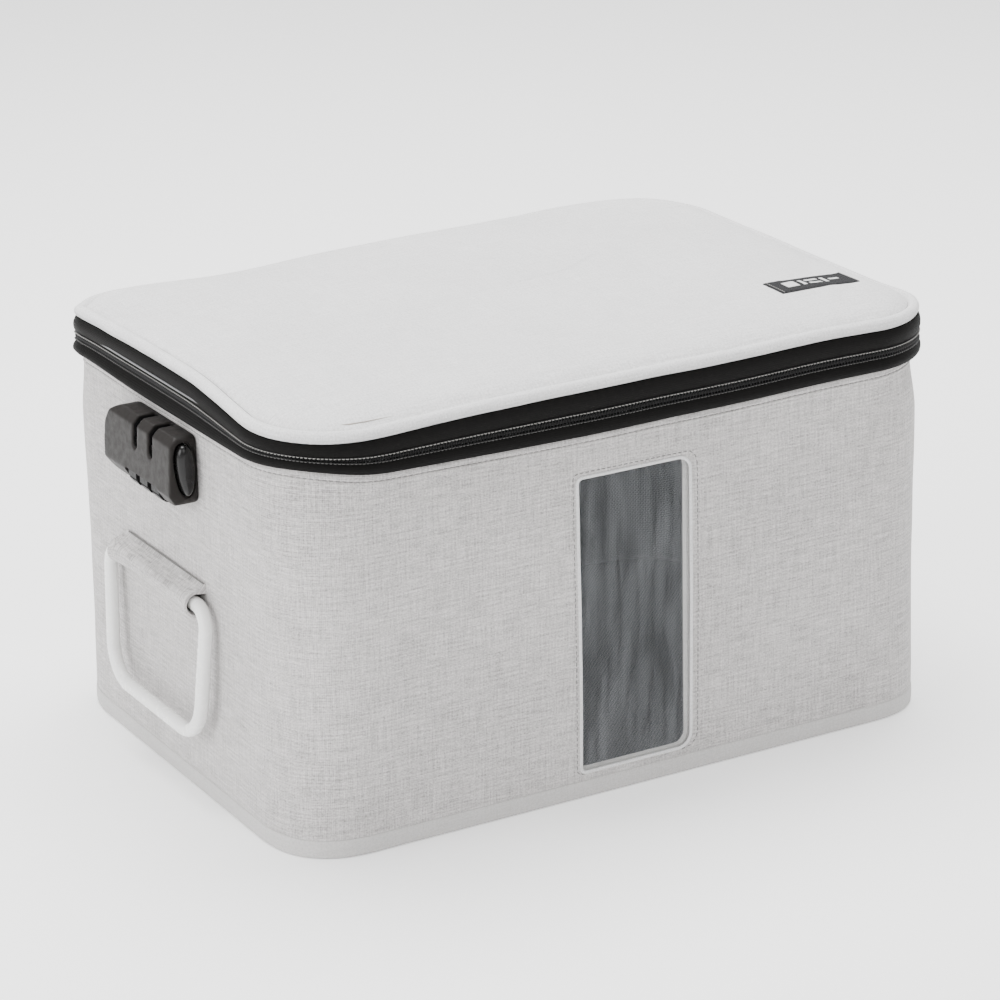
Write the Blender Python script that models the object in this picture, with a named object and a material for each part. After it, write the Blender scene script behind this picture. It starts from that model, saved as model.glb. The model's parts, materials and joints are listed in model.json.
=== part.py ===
"""Soft-sided document box with a zipped lid, a combination lock and two swinging handles.

The box stands on its bottom panel, +Z up, with the origin at the centre of that panel.
X runs along the long side, -Y is the front with the window, and the lid hinges at +Y.
Lengths are in millimetres here; mesh_object() turns them into metres.
"""
import math

import bmesh
import bpy
from mathutils import Matrix, Vector

METRES_PER_MM = 0.001
GAP = 0.3                     # clearance between pieces that touch
ARC_STEPS = 8                 # facets in a rounded corner

# Body: half sizes of the cover's outer face, and the layers counted inwards from it
BODY_X, BODY_Y, BODY_R = 181.0, 131.0, 44.0
COVER_T, BOARD_T, LINING_T = 1.2, 4.0, 0.8
BOARD_OUT = COVER_T + GAP
BOARD_IN = BOARD_OUT + BOARD_T
LINING_OUT = BOARD_IN + GAP
LINING_IN = LINING_OUT + LINING_T

# Heights of the body
PANEL_T, BASE_BOARD_T = 1.2, 3.5
BASE_BOARD_Z = PANEL_T + GAP
WALL_Z = BASE_BOARD_Z + BASE_BOARD_T + GAP
BINDING_Z, BINDING_TOP = 0.3, 9.0
WALL_TOP = 187.7

# Zip band round the mouth, and the lid on it
BAND_X, BAND_Y, BAND_R = 185.0, 135.0, 46.0
TAPE_T, TAPE_FLANGE = 1.2, 10.5
LOWER_TAPE = (188.0, 194.0)
LOWER_COIL = (194.3, 195.6)
UPPER_COIL = (196.9, 198.2)
UPPER_TAPE = (198.5, 207.2)
COIL_T, STOP_L = 1.9, 5.0
COIL_END_X = 134.0            # the zip stops on the rear face, either side of the hinge
ZIP_Z = (LOWER_COIL[1] + UPPER_COIL[0]) / 2
LID_LINING_Z = (204.9, 205.7)
LID_BOARD_Z = (207.5, 211.2)
PIPING_IN, PIPING_W, PIPING_H = 0.4, 8.2, 8.7
LID_TOP_Z, LID_EDGE_TOP, LID_PUFF = 211.5, 215.2, 6.4

# Window in the front wall
WINDOW_HALF, WINDOW_LOW, WINDOW_HIGH, WINDOW_R = 31.0, 14.0, 164.0, 6.0
PANE_LAP, PANE_T = 8.0, 0.6

# Lock on the left wall (p counts outwards from the cover, y from the rear end to the front end)
LOCK_Y = (-35.0, 41.0)
LOCK_Z = (152.2, 186.6)
LOCK_WALL, LOCK_TOP_P, LOCK_BOTTOM_P = 2.0, 14.2, 15.6
LOCK_TOP_CHAMFER, LOCK_LOW_CHAMFER = (3.6, 3.5), (4.0, 6.0)
SLOT_Y, SLOT_W, SLOT_LOW = (-12.5, 5.0), 4.2, 171.4
DIAL_Y, DIAL_P, DIAL_Z, DIAL_R, DIAL_W = (-15.0, -2.0, 11.0), 7.8, 156.4, 6.4, 8.6
DIAL_RIBS, DIAL_NOTCH = 10, 8.4
SHAFT_R, SHAFT_HOLE_R = 1.2, 1.25
EAR_Y, EAR_T, EAR_REACH = (-22.6, 17.4), 1.2, 1.8
BUTTON_P, BUTTON_Z, BUTTON_HALF_P, BUTTON_HALF_Z = 7.5, 170.6, 5.1, 12.6
BUTTON_PROUD, BUTTON_TRAVEL = 4.2, 3.6
LATCH_P, LATCH_Z, HOOK_Z, HOOK_T = (7.2, 8.4), (171.3, 172.8), 177.0, 1.6
SCREW_Y, SCREW_Z, PLATE_DROP = (-23.5, 29.5), 181.6, 7.4
SCREW_R, SCREW_HOLE_R, BOSS_R = 1.4, 1.7, 3.4

# Handles on both short walls, each on a bar in a sewn sleeve
HANDLE_Y, HANDLE_Z, HANDLE_P = 8.0, 103.0, 5.4
HANDLE_TOP_HALF, HANDLE_LOW_HALF, HANDLE_DROP = 56.0, 50.0, 67.5
HANDLE_TOP_R, HANDLE_LOW_R = 10.0, 20.0
HANDLE_HALF_W, HANDLE_HALF_T, HANDLE_TILT = 3.4, 3.2, 4.0
SLEEVE_HALF, SLEEVE_IN_R, SLEEVE_T, SLEEVE_FLANGE = 45.0, 4.5, 1.0, 4.0

# Sliders and pulls, parked side by side on the right wall
SLIDER_Y = (1.0, 15.0)
SLIDER_HALF_L, SLIDER_HALF_H, SLIDER_PLATE = 5.2, 3.4, 1.2
ARCH_HALF, ARCH_REACH, ARCH_BAR, ARCH_HALF_H = 3.6, 3.6, 1.2, 0.8
PULL_X, PULL_T, PULL_LENGTH, PULL_HALF_H = 187.75, 1.1, 27.0, 3.5
PULL_EYE, PULL_EYE_HALF, PULL_BAR = 6.4, 1.9, 1.0

LABEL_CENTRE, LABEL_HALF, LABEL_Z = (139.0, -76.0), (23.0, 9.0), (221.9, 222.7)

COLOURS = {
    "grey_fabric": ((0.60, 0.59, 0.58), 0.9, 0.0),
    "light_fabric": ((0.72, 0.71, 0.70), 0.85, 0.0),
    "black_tape": ((0.018, 0.017, 0.016), 0.75, 0.0),
    "zip_coil": ((0.03, 0.03, 0.03), 0.4, 0.0),
    "fibre_board": ((0.35, 0.33, 0.30), 0.9, 0.0),
    "foam": ((0.75, 0.74, 0.72), 0.95, 0.0),
    "silver_lining": ((0.45, 0.45, 0.46), 0.45, 0.3),
    "clear_pvc": ((0.85, 0.88, 0.90), 0.08, 0.0),
    "lock_plastic": ((0.085, 0.078, 0.075), 0.45, 0.0),
    "button_plastic": ((0.018, 0.018, 0.018), 0.25, 0.0),
    "steel": ((0.62, 0.62, 0.63), 0.3, 1.0),
    "handle_plastic": ((0.78, 0.78, 0.77), 0.35, 0.0),
}


def clear_scene():
    for item in list(bpy.data.objects):
        bpy.data.objects.remove(item, do_unlink=True)


def material(name):
    found = bpy.data.materials.get(name)
    if found:
        return found
    colour, roughness, metallic = COLOURS[name]
    made = bpy.data.materials.new(name)
    made.use_nodes = True
    shader = made.node_tree.nodes["Principled BSDF"]
    shader.inputs["Base Color"].default_value = (*colour, 1.0)
    shader.inputs["Roughness"].default_value = roughness
    shader.inputs["Metallic"].default_value = metallic
    return made


def mesh_object(name, mesh_data, look, origin=(0.0, 0.0, 0.0), smooth=30.0):
    """An object from a bmesh in millimetres, with its own origin on the given point."""
    bmesh.ops.recalc_face_normals(mesh_data, faces=mesh_data.faces)
    bmesh.ops.translate(mesh_data, verts=mesh_data.verts, vec=-Vector(origin))
    bmesh.ops.scale(mesh_data, verts=mesh_data.verts, vec=Vector((METRES_PER_MM,) * 3))
    mesh = bpy.data.meshes.new(name)
    mesh_data.to_mesh(mesh)
    mesh_data.free()
    mesh.materials.append(material(look))
    mesh.shade_smooth()
    mesh.set_sharp_from_angle(angle=math.radians(smooth))
    made = bpy.data.objects.new(name, mesh)
    made.location = Vector(origin) * METRES_PER_MM
    bpy.context.collection.objects.link(made)
    return made


def add_loops(mesh_data, loops, closed_path):
    """Bridge equal loops of points; an open path gets a cap at each end."""
    rows = [[mesh_data.verts.new(point) for point in loop] for loop in loops]
    count = len(rows[0])
    pairs = list(zip(rows, rows[1:]))
    if closed_path:
        pairs.append((rows[-1], rows[0]))
    for first, second in pairs:
        for i in range(count):
            j = (i + 1) % count
            mesh_data.faces.new((first[i], first[j], second[j], second[i]))
    if not closed_path:
        mesh_data.faces.new(rows[0][::-1])
        mesh_data.faces.new(rows[-1])


def loft(name, loops, look, closed_path=False, origin=(0.0, 0.0, 0.0), smooth=30.0):
    mesh_data = bmesh.new()
    add_loops(mesh_data, loops, closed_path)
    return mesh_object(name, mesh_data, look, origin, smooth)


def arc(centre, radius, start, end, steps=ARC_STEPS):
    """Points of an arc in a plane, from one angle in degrees to another."""
    angles = [math.radians(start + (end - start) * i / steps) for i in range(steps + 1)]
    return [(centre[0] + radius * math.cos(a), centre[1] + radius * math.sin(a)) for a in angles]


def rounded_rectangle(half_x, half_y, radius, steps=ARC_STEPS):
    points = []
    corners = ((1, 1, 0), (-1, 1, 90), (-1, -1, 180), (1, -1, 270))
    for side_x, side_y, start in corners:
        centre = (side_x * (half_x - radius), side_y * (half_y - radius))
        points += arc(centre, radius, start, start + 90, steps)
    return points


def inset_outline(size, inset):
    """The rounded rectangle (half x, half y, radius) moved inwards by inset."""
    half_x, half_y, radius = size
    return rounded_rectangle(half_x - inset, half_y - inset, max(radius - inset, 2.0))


def frame_ring(name, size, section, look, smooth=30.0):
    """A closed ring: each section point is (inset, height) round the outline."""
    loops = [[(x, y, height) for x, y in inset_outline(size, inset)] for inset, height in section]
    mesh_data = bmesh.new()
    add_loops(mesh_data, loops, closed_path=True)
    return mesh_object(name, mesh_data, look, smooth=smooth)


def prism(name, outline, axis, low, high, look, origin=(0.0, 0.0, 0.0), smooth=30.0):
    """Extrude an outline along X, Y or Z; its points are the other two coordinates in order."""
    place = {"X": lambda u, v, w: (w, u, v), "Y": lambda u, v, w: (u, w, v), "Z": lambda u, v, w: (u, v, w)}
    loops = [[place[axis](u, v, w) for u, v in outline] for w in (low, high)]
    return loft(name, loops, look, origin=origin, smooth=smooth)


def box(name, low, high, look, origin=(0.0, 0.0, 0.0)):
    outline = [(low[0], low[1]), (high[0], low[1]), (high[0], high[1]), (low[0], high[1])]
    return prism(name, outline, "Z", low[2], high[2], look, origin)


def bevel(target, width, segments=2, limit=30.0):
    modifier = target.modifiers.new("bevel", "BEVEL")
    modifier.width = width * METRES_PER_MM
    modifier.segments = segments
    modifier.limit_method = "ANGLE"
    modifier.angle_limit = math.radians(limit)
    return target


def combine(target, tool, operation="DIFFERENCE"):
    """A Boolean with a tool object that is itself left out of the model."""
    tool.hide_render = True
    tool.display_type = "WIRE"
    modifier = target.modifiers.new(operation.lower(), "BOOLEAN")
    modifier.operation = operation
    modifier.solver = "EXACT"
    modifier.object = tool
    return target


def left_x(p):
    """X of a point that stands p outside the left wall's cover."""
    return -(BODY_X + p)


def window_outline(margin, radius=WINDOW_R):
    centre_z = (WINDOW_LOW + WINDOW_HIGH) / 2
    half_z = (WINDOW_HIGH - WINDOW_LOW) / 2
    shape = rounded_rectangle(WINDOW_HALF + margin, half_z + margin, radius, 4)
    return [(x, z + centre_z) for x, z in shape]


def window_cutter(name, margin, radius=WINDOW_R):
    return prism(name, window_outline(margin, radius), "Y", -BODY_Y - 5, -BODY_Y + 15, "steel")


def screw_cutter(name, y):
    hole = arc((y, SCREW_Z), SCREW_HOLE_R, 0, 330, 11)
    return prism(name, hole, "X", left_x(1.0), left_x(-LINING_IN - 3), "steel")


# ---------------------------------------------------------------- body


def build_base():
    size = (BODY_X - COVER_T, BODY_Y - COVER_T, BODY_R - COVER_T)
    prism("bottom_panel", inset_outline(size, 0), "Z", 0.0, PANEL_T, "light_fabric")
    prism("bottom_board", inset_outline(size, GAP), "Z", BASE_BOARD_Z, WALL_Z - GAP, "fibre_board")
    inner = (BODY_X, BODY_Y, BODY_R)
    outline = inset_outline(inner, LINING_IN + GAP)
    prism("bottom_lining", outline, "Z", WALL_Z, WALL_Z + LINING_T, "silver_lining")
    binding = [(-0.6, BINDING_Z), (-0.6, BINDING_TOP), (COVER_T - GAP, BINDING_TOP),
               (COVER_T - GAP, BINDING_Z)]
    frame_ring("bottom_binding", inner, binding, "light_fabric")


def build_walls():
    size = (BODY_X, BODY_Y, BODY_R)
    low = BINDING_TOP + GAP
    cover = frame_ring("body_cover", size, [(0, low), (0, WALL_TOP), (COVER_T, WALL_TOP), (COVER_T, low)],
                       "grey_fabric")
    combine(cover, window_cutter("cut_cover_window", 0))
    lining = frame_ring("body_lining", size, [(LINING_OUT, WALL_Z), (LINING_OUT, WALL_TOP),
                                              (LINING_IN, WALL_TOP), (LINING_IN, WALL_Z)], "silver_lining")
    combine(lining, window_cutter("cut_lining_window", 0))
    straight_x = BODY_X - BODY_R - GAP / 2
    straight_y = BODY_Y - BODY_R - GAP / 2
    front = box("front_board", (-straight_x, -BODY_Y + BOARD_OUT, WALL_Z),
                (straight_x, -BODY_Y + BOARD_IN, WALL_TOP), "fibre_board")
    combine(front, window_cutter("cut_board_window", PANE_LAP + GAP, WINDOW_R + PANE_LAP))
    box("back_board", (-straight_x, BODY_Y - BOARD_IN, WALL_Z), (straight_x, BODY_Y - BOARD_OUT, WALL_TOP),
        "fibre_board")
    left = box("left_board", (-BODY_X + BOARD_OUT, -straight_y, WALL_Z),
               (-BODY_X + BOARD_IN, straight_y, WALL_TOP), "fibre_board")
    box("right_board", (BODY_X - BOARD_IN, -straight_y, WALL_Z), (BODY_X - BOARD_OUT, straight_y, WALL_TOP),
        "fibre_board")
    for number, y in enumerate(SCREW_Y):
        for piece in (cover, left, lining):
            combine(piece, screw_cutter(f"cut_{piece.name}_screw_{number}", y))


def build_corner_pads():
    corners = {"rear_right": (1, 1, 0), "rear_left": (-1, 1, 90), "front_left": (-1, -1, 180),
               "front_right": (1, -1, 270)}
    for name, (side_x, side_y, start) in corners.items():
        centre = (side_x * (BODY_X - BODY_R), side_y * (BODY_Y - BODY_R))
        outer = arc(centre, BODY_R - BOARD_OUT, start, start + 90)
        inner = arc(centre, BODY_R - BOARD_IN, start + 90, start)
        prism(f"corner_pad_{name}", outer + inner, "Z", WALL_Z, WALL_TOP, "foam")


def build_window():
    pane_out = -BODY_Y + BOARD_OUT
    outline = window_outline(PANE_LAP, WINDOW_R + PANE_LAP)
    prism("window_pane", outline, "Y", pane_out, pane_out + PANE_T, "clear_pvc")
    facing = prism("window_facing", outline, "Y", pane_out + PANE_T + GAP, -BODY_Y + BOARD_IN, "foam")
    combine(facing, window_cutter("cut_facing_window", 0))


# ---------------------------------------------------------------- zip band and lid


def band_path():
    """The zip's way round the mouth, rear to rear: (x, y, outward x, outward y)."""
    centre_x, centre_y = BAND_X - BAND_R, BAND_Y - BAND_R
    points = [(COIL_END_X, BAND_Y, 0.0, 1.0)]
    for side_x, side_y, start in ((1, 1, 90), (1, -1, 0), (-1, -1, -90), (-1, 1, -180)):
        for i in range(ARC_STEPS + 1):
            angle = math.radians(start - 90 * i / ARC_STEPS)
            out_x, out_y = math.cos(angle), math.sin(angle)
            points.append((side_x * centre_x + BAND_R * out_x, side_y * centre_y + BAND_R * out_y,
                           out_x, out_y))
    points.append((-COIL_END_X, BAND_Y, 0.0, 1.0))
    return points


def coil(name, heights):
    low, high = heights
    section = ((0, low), (0, high), (COIL_T, high), (COIL_T, low))
    loops = [[(x - out_x * inset, y - out_y * inset, z) for inset, z in section]
             for x, y, out_x, out_y in band_path()]
    loft(name, loops, "zip_coil")


def build_zip_band():
    size = (BAND_X, BAND_Y, BAND_R)
    low, high = LOWER_TAPE
    frame_ring("lower_zip_tape", size, [(0, low), (0, high), (TAPE_T, high), (TAPE_T, low + TAPE_T),
                                        (TAPE_FLANGE, low + TAPE_T), (TAPE_FLANGE, low)], "black_tape")
    low, high = UPPER_TAPE
    frame_ring("upper_zip_tape", size, [(0, low), (0, high), (TAPE_FLANGE, high),
                                        (TAPE_FLANGE, high - TAPE_T), (TAPE_T, high - TAPE_T),
                                        (TAPE_T, low)], "black_tape")
    coil("lower_zip_coil", LOWER_COIL)
    coil("upper_zip_coil", UPPER_COIL)
    for name, side in (("left", -1), ("right", 1)):
        ends = sorted((side * (COIL_END_X - GAP), side * (COIL_END_X - STOP_L)))
        box(f"zip_stop_{name}", (ends[0], BAND_Y - COIL_T, LOWER_COIL[0]),
            (ends[1], BAND_Y - 0.1, LOWER_COIL[1] + 1), "steel")
    strip_y = BAND_Y - TAPE_T - GAP
    half = COIL_END_X - STOP_L - 1
    box("hinge_strip", (-half, strip_y - 0.6, LOWER_TAPE[0] + TAPE_T + GAP), (half, strip_y, UPPER_COIL[1]),
        "black_tape")


def build_lid():
    size = (BAND_X, BAND_Y, BAND_R)
    outline = inset_outline(size, TAPE_T + GAP)
    prism("lid_lining", outline, "Z", *LID_LINING_Z, "silver_lining")
    inner = PIPING_IN + PIPING_W + GAP
    prism("lid_board", inset_outline(size, inner), "Z", *LID_BOARD_Z, "fibre_board")
    middle = (PIPING_IN + PIPING_W / 2, LID_BOARD_Z[0] + PIPING_H / 2)
    section = []
    for i in range(12):
        angle = math.tau * i / 12
        section.append((middle[0] - PIPING_W / 2 * math.cos(angle),
                        middle[1] + PIPING_H / 2 * math.sin(angle)))
    frame_ring("lid_piping", size, section, "light_fabric", smooth=60)
    insets = (0, 2, 5, 10, 18, 32, 55, 90)
    loops = [[(x, y, LID_TOP_Z) for x, y in inset_outline(size, inner)]]
    for inset in insets:
        height = LID_EDGE_TOP + LID_PUFF * (1 - math.exp(-inset / 14.0))
        loops.append([(x, y, height) for x, y in inset_outline(size, inner + inset)])
    loft("lid_top_panel", loops, "light_fabric", smooth=60)
    low = (LABEL_CENTRE[0] - LABEL_HALF[0], LABEL_CENTRE[1] - LABEL_HALF[1], LABEL_Z[0])
    high = (LABEL_CENTRE[0] + LABEL_HALF[0], LABEL_CENTRE[1] + LABEL_HALF[1], LABEL_Z[1])
    box("lid_label", low, high, "black_tape")


# ---------------------------------------------------------------- sliders


def slider_body(name, y):
    """Two plates joined through the zip's gap, with an arch outside for the pull."""
    outer = BAND_X + GAP + 0.1
    inner = BAND_X - COIL_T - 2 * GAP
    origin = (outer, y, ZIP_Z)
    body = box(name, (outer, y - SLIDER_HALF_L, ZIP_Z - SLIDER_HALF_H),
               (outer + SLIDER_PLATE, y + SLIDER_HALF_L, ZIP_Z + SLIDER_HALF_H), "steel", origin)
    plate = box(f"add_{name}_inner", (inner - SLIDER_PLATE, y - SLIDER_HALF_L, ZIP_Z - SLIDER_HALF_H),
                (inner, y + SLIDER_HALF_L, ZIP_Z + SLIDER_HALF_H), "steel")
    web = box(f"add_{name}_web", (inner - 0.6, y - 1.6, ZIP_Z - 0.35),
              (outer + 0.6, y + 1.6, ZIP_Z + 0.35), "steel")
    start = outer + SLIDER_PLATE - 0.4
    end = outer + SLIDER_PLATE + ARCH_REACH
    arch = [(start, y - ARCH_HALF), (end - 1, y - ARCH_HALF), (end, y - ARCH_HALF + 1),
            (end, y + ARCH_HALF - 1), (end - 1, y + ARCH_HALF), (start, y + ARCH_HALF),
            (start, y + ARCH_HALF - ARCH_BAR), (end - ARCH_BAR, y + ARCH_HALF - ARCH_BAR),
            (end - ARCH_BAR, y - ARCH_HALF + ARCH_BAR), (start, y - ARCH_HALF + ARCH_BAR)]
    loop = prism(f"add_{name}_arch", arch, "Z", ZIP_Z - ARCH_HALF_H, ZIP_Z + ARCH_HALF_H, "steel")
    for tool in (plate, web, loop):
        combine(body, tool, "UNION")


def slider_pull(name, y, direction):
    """A flat pull that lies along the band, with its eye's bar inside the slider's arch."""
    origin = (PULL_X, y, ZIP_Z)
    ends = sorted((y - direction * PULL_BAR / 2, y + direction * PULL_LENGTH))
    centre = ((ends[0] + ends[1]) / 2, ZIP_Z)
    shape = rounded_rectangle((ends[1] - ends[0]) / 2, PULL_HALF_H, 1.5, 3)
    outline = [(u + centre[0], v + centre[1]) for u, v in shape]
    low, high = PULL_X - PULL_T / 2, PULL_X + PULL_T / 2
    pull = prism(name, outline, "X", low, high, "steel", origin)
    eye = sorted((y + direction * PULL_BAR / 2, y + direction * PULL_EYE))
    combine(pull, box(f"cut_{name}_eye", (low - 1, eye[0], ZIP_Z - PULL_EYE_HALF),
                      (high + 1, eye[1], ZIP_Z + PULL_EYE_HALF), "steel"))
    far = y + direction * (PULL_LENGTH - 5)
    hole = arc((far, ZIP_Z), 1.9, 0, 330, 11)
    combine(pull, prism(f"cut_{name}_hole", hole, "X", low - 1, high + 1, "steel"))


def build_sliders():
    for name, y, direction in (("front", SLIDER_Y[0], -1), ("rear", SLIDER_Y[1], 1)):
        slider_body(f"zip_slider_{name}", y)
        slider_pull(f"zip_pull_{name}", y, direction)


# ---------------------------------------------------------------- handles


def corner_arc(previous, corner, following, radius, steps):
    """Points that round one corner of a polygon."""
    to_previous = (Vector(previous) - Vector(corner)).normalized()
    to_following = (Vector(following) - Vector(corner)).normalized()
    half_angle = to_previous.angle(to_following) / 2
    reach = radius / math.tan(half_angle)
    start = Vector(corner) + to_previous * reach
    end = Vector(corner) + to_following * reach
    centre = Vector(corner) + (to_previous + to_following).normalized() * radius / math.sin(half_angle)
    sweep = (start - centre).angle(end - centre)
    points = []
    for i in range(steps + 1):
        weight_start = math.sin(sweep * (1 - i / steps)) / math.sin(sweep)
        weight_end = math.sin(sweep * i / steps) / math.sin(sweep)
        points.append(centre + (start - centre) * weight_start + (end - centre) * weight_end)
    return points


def handle_path():
    """Centre line of the ring in its own plane: (y, z), with the pivot bar along z = 0."""
    corners = [(-HANDLE_TOP_HALF, 0.0), (-HANDLE_LOW_HALF, -HANDLE_DROP), (HANDLE_LOW_HALF, -HANDLE_DROP),
               (HANDLE_TOP_HALF, 0.0)]
    radii = (HANDLE_TOP_R, HANDLE_LOW_R, HANDLE_LOW_R, HANDLE_TOP_R)
    points = []
    for i, corner in enumerate(corners):
        steps = 6 if radii[i] == HANDLE_LOW_R else 5
        points += corner_arc(corners[i - 1], corner, corners[(i + 1) % 4], radii[i], steps)
    return points


def handle_section():
    """Rounded bar section: (in the ring's plane, across it)."""
    points = []
    for i in range(10):
        angle = math.tau * i / 10
        power = 0.8
        wide = math.copysign(abs(math.cos(angle)) ** power, math.cos(angle))
        thick = math.copysign(abs(math.sin(angle)) ** power, math.sin(angle))
        points.append((HANDLE_HALF_W * wide, HANDLE_HALF_T * thick))
    return points


def build_handle(name, side):
    path = handle_path()
    pivot = Vector((side * (BODY_X + HANDLE_P), HANDLE_Y, HANDLE_Z))
    tilt = Matrix.Rotation(math.radians(-side * HANDLE_TILT), 3, "Y")
    loops = []
    for i, point in enumerate(path):
        tangent = (path[(i + 1) % len(path)] - path[i - 1]).normalized()
        normal = Vector((tangent.y, -tangent.x))
        loop = []
        for wide, thick in handle_section():
            flat = point + normal * wide
            loop.append(pivot + tilt @ Vector((side * thick, flat.x, flat.y)))
        loops.append(loop)
    loft(f"{name}_handle", loops, "handle_plastic", closed_path=True, origin=pivot, smooth=60)
    build_sleeve(f"{name}_handle_sleeve", side)


def build_sleeve(name, side):
    """Fabric strip sewn to the wall above and below the bar that it holds."""
    outer_r = SLEEVE_IN_R + SLEEVE_T
    outer = arc((HANDLE_P, 0.0), outer_r, 90, -90, 8)
    inner = arc((HANDLE_P, 0.0), SLEEVE_IN_R, -90, 90, 8)
    reach = outer_r + SLEEVE_FLANGE
    near = GAP
    far = GAP + SLEEVE_T
    outline = [(near, reach), (far, reach), (far, outer_r)] + outer + [(far, -outer_r), (far, -reach),
               (near, -reach), (near, -SLEEVE_IN_R)] + inner + [(near, SLEEVE_IN_R)]
    placed = [(side * (BODY_X + p), z + HANDLE_Z) for p, z in outline]
    prism(name, placed, "Y", HANDLE_Y - SLEEVE_HALF, HANDLE_Y + SLEEVE_HALF, "grey_fabric")


# ---------------------------------------------------------------- lock


def lock_side_outline(inset=0.0):
    """The housing seen from outside: (y, z), with its rear end rounded."""
    low, high = LOCK_Z[0] + inset, LOCK_Z[1] - inset
    front, rear = LOCK_Y[0] + inset, LOCK_Y[1] - inset
    big, small = 16.0 - inset, 8.0 - inset
    outline = arc((rear - small, low + small), small, -90, 0, 5)
    outline += arc((rear - big, high - big), big, 0, 90, 6)
    return outline + [(front, high), (front, low)]


def lock_section(inset=0.0):
    """The housing seen from its end: (x, z), chamfered at the top and more deeply at the bottom."""
    low, high = LOCK_Z[0] + inset, LOCK_Z[1] - inset
    top, bottom = LOCK_TOP_P - inset, LOCK_BOTTOM_P - inset
    back = GAP if inset == 0 else -1.0
    shape = [(back, low), (bottom - LOCK_LOW_CHAMFER[0], low), (bottom, low + LOCK_LOW_CHAMFER[1]),
             (top, high - LOCK_TOP_CHAMFER[1]), (top - LOCK_TOP_CHAMFER[0], high), (back, high)]
    return [(left_x(p), z) for p, z in shape]


def lock_block(name, inset):
    reach = 40.0
    block = prism(name, lock_side_outline(inset), "X", left_x(reach), left_x(-reach), "lock_plastic",
                  smooth=40)
    section = prism(f"tool_{name}", lock_section(inset), "Y", LOCK_Y[0] - reach, LOCK_Y[1] + reach, "steel")
    combine(block, section, "INTERSECT")
    return block


def rounded_slot(name, y):
    """Slot for a zip pull, from the front face over the top to near the wall."""
    half = SLOT_W / 2
    above = LOCK_Z[1] + 5
    outline = arc((y, SLOT_LOW + half), half, 180, 360, 6) + [(y + half, above), (y - half, above)]
    return prism(name, outline, "X", left_x(LOCK_BOTTOM_P + 2), left_x(1.6), "steel")


def button_outline(margin, steps=20):
    points = []
    for i in range(steps):
        angle = math.tau * i / steps
        across = math.copysign(abs(math.cos(angle)) ** 0.8, math.cos(angle))
        up = math.copysign(abs(math.sin(angle)) ** 0.8, math.sin(angle))
        points.append((left_x(BUTTON_P) + (BUTTON_HALF_P + margin) * across,
                       BUTTON_Z + (BUTTON_HALF_Z + margin) * up))
    return points


def build_lock_housing():
    housing = lock_block("lock_housing", 0.0)
    combine(housing, lock_block("cut_lock_cavity", LOCK_WALL))
    for number, y in enumerate(SLOT_Y):
        combine(housing, rounded_slot(f"cut_lock_slot_{number}", y))
    dial_space = box("cut_lock_dials", (left_x(LOCK_BOTTOM_P + 2), EAR_Y[0] + EAR_T + 0.4, LOCK_Z[0] - 2),
                     (left_x(0.9), EAR_Y[1] - 0.4, LOCK_Z[0] + DIAL_NOTCH), "steel")
    combine(housing, dial_space)
    opening = prism("cut_lock_button", button_outline(0.35), "Y", LOCK_Y[0] - 2, LOCK_Y[0] + 6, "steel")
    combine(housing, opening)
    bezel = prism("cut_lock_bezel", button_outline(1.3), "Y", LOCK_Y[0] - 2, LOCK_Y[0] + 0.9, "steel")
    combine(housing, bezel)
    for number, y in enumerate(SCREW_Y):
        boss = prism(f"add_lock_boss_{number}", arc((y, SCREW_Z), BOSS_R, 0, 330, 11), "X", left_x(8.4),
                     left_x(2.2), "steel")
        combine(housing, boss, "UNION")
        hole = prism(f"cut_lock_boss_{number}", arc((y, SCREW_Z), SCREW_HOLE_R, 0, 330, 11), "X",
                     left_x(6.6), left_x(-1), "steel")
        combine(housing, hole)


def build_lock_chassis():
    """Back plate of the lock, with two ears that hold the dials' shaft."""
    low, high = LOCK_Z[0] + LOCK_WALL + GAP, SCREW_Z - BOSS_R - 0.4
    plate = box("lock_chassis", (left_x(1.5), EAR_Y[0], low), (left_x(0.5), EAR_Y[1] + EAR_T, high),
                "steel")
    for number, y in enumerate(EAR_Y):
        ear = box(f"add_lock_ear_{number}", (left_x(DIAL_P + EAR_REACH), y, low),
                  (left_x(1.0), y + EAR_T, low + 10), "steel")
        combine(plate, ear, "UNION")
    hole = arc((left_x(DIAL_P), DIAL_Z), SHAFT_HOLE_R, 0, 330, 11)
    combine(plate, prism("cut_lock_shaft", hole, "Y", EAR_Y[0] - 5, EAR_Y[1] + 5, "steel"))
    groove_low, groove_high = DIAL_Z - DIAL_R - 0.4, DIAL_Z + DIAL_R + 0.4
    for number, y in enumerate(DIAL_Y):
        combine(plate, box(f"cut_lock_dial_{number}", (left_x(1.7), y - DIAL_W / 2 - 0.4, groove_low),
                           (left_x(0.2), y + DIAL_W / 2 + 0.4, groove_high), "steel"))


def dial_outline():
    """Ten-sided grip ring: each rib has a flat crest, with a groove between ribs."""
    points = []
    for i in range(DIAL_RIBS):
        for offset, radius in ((-13.0, DIAL_R), (13.0, DIAL_R), (18.0, DIAL_R - 0.8)):
            angle = math.radians(360.0 * i / DIAL_RIBS + offset)
            points.append((left_x(DIAL_P) + radius * math.cos(angle), DIAL_Z + radius * math.sin(angle)))
    return points


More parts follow.
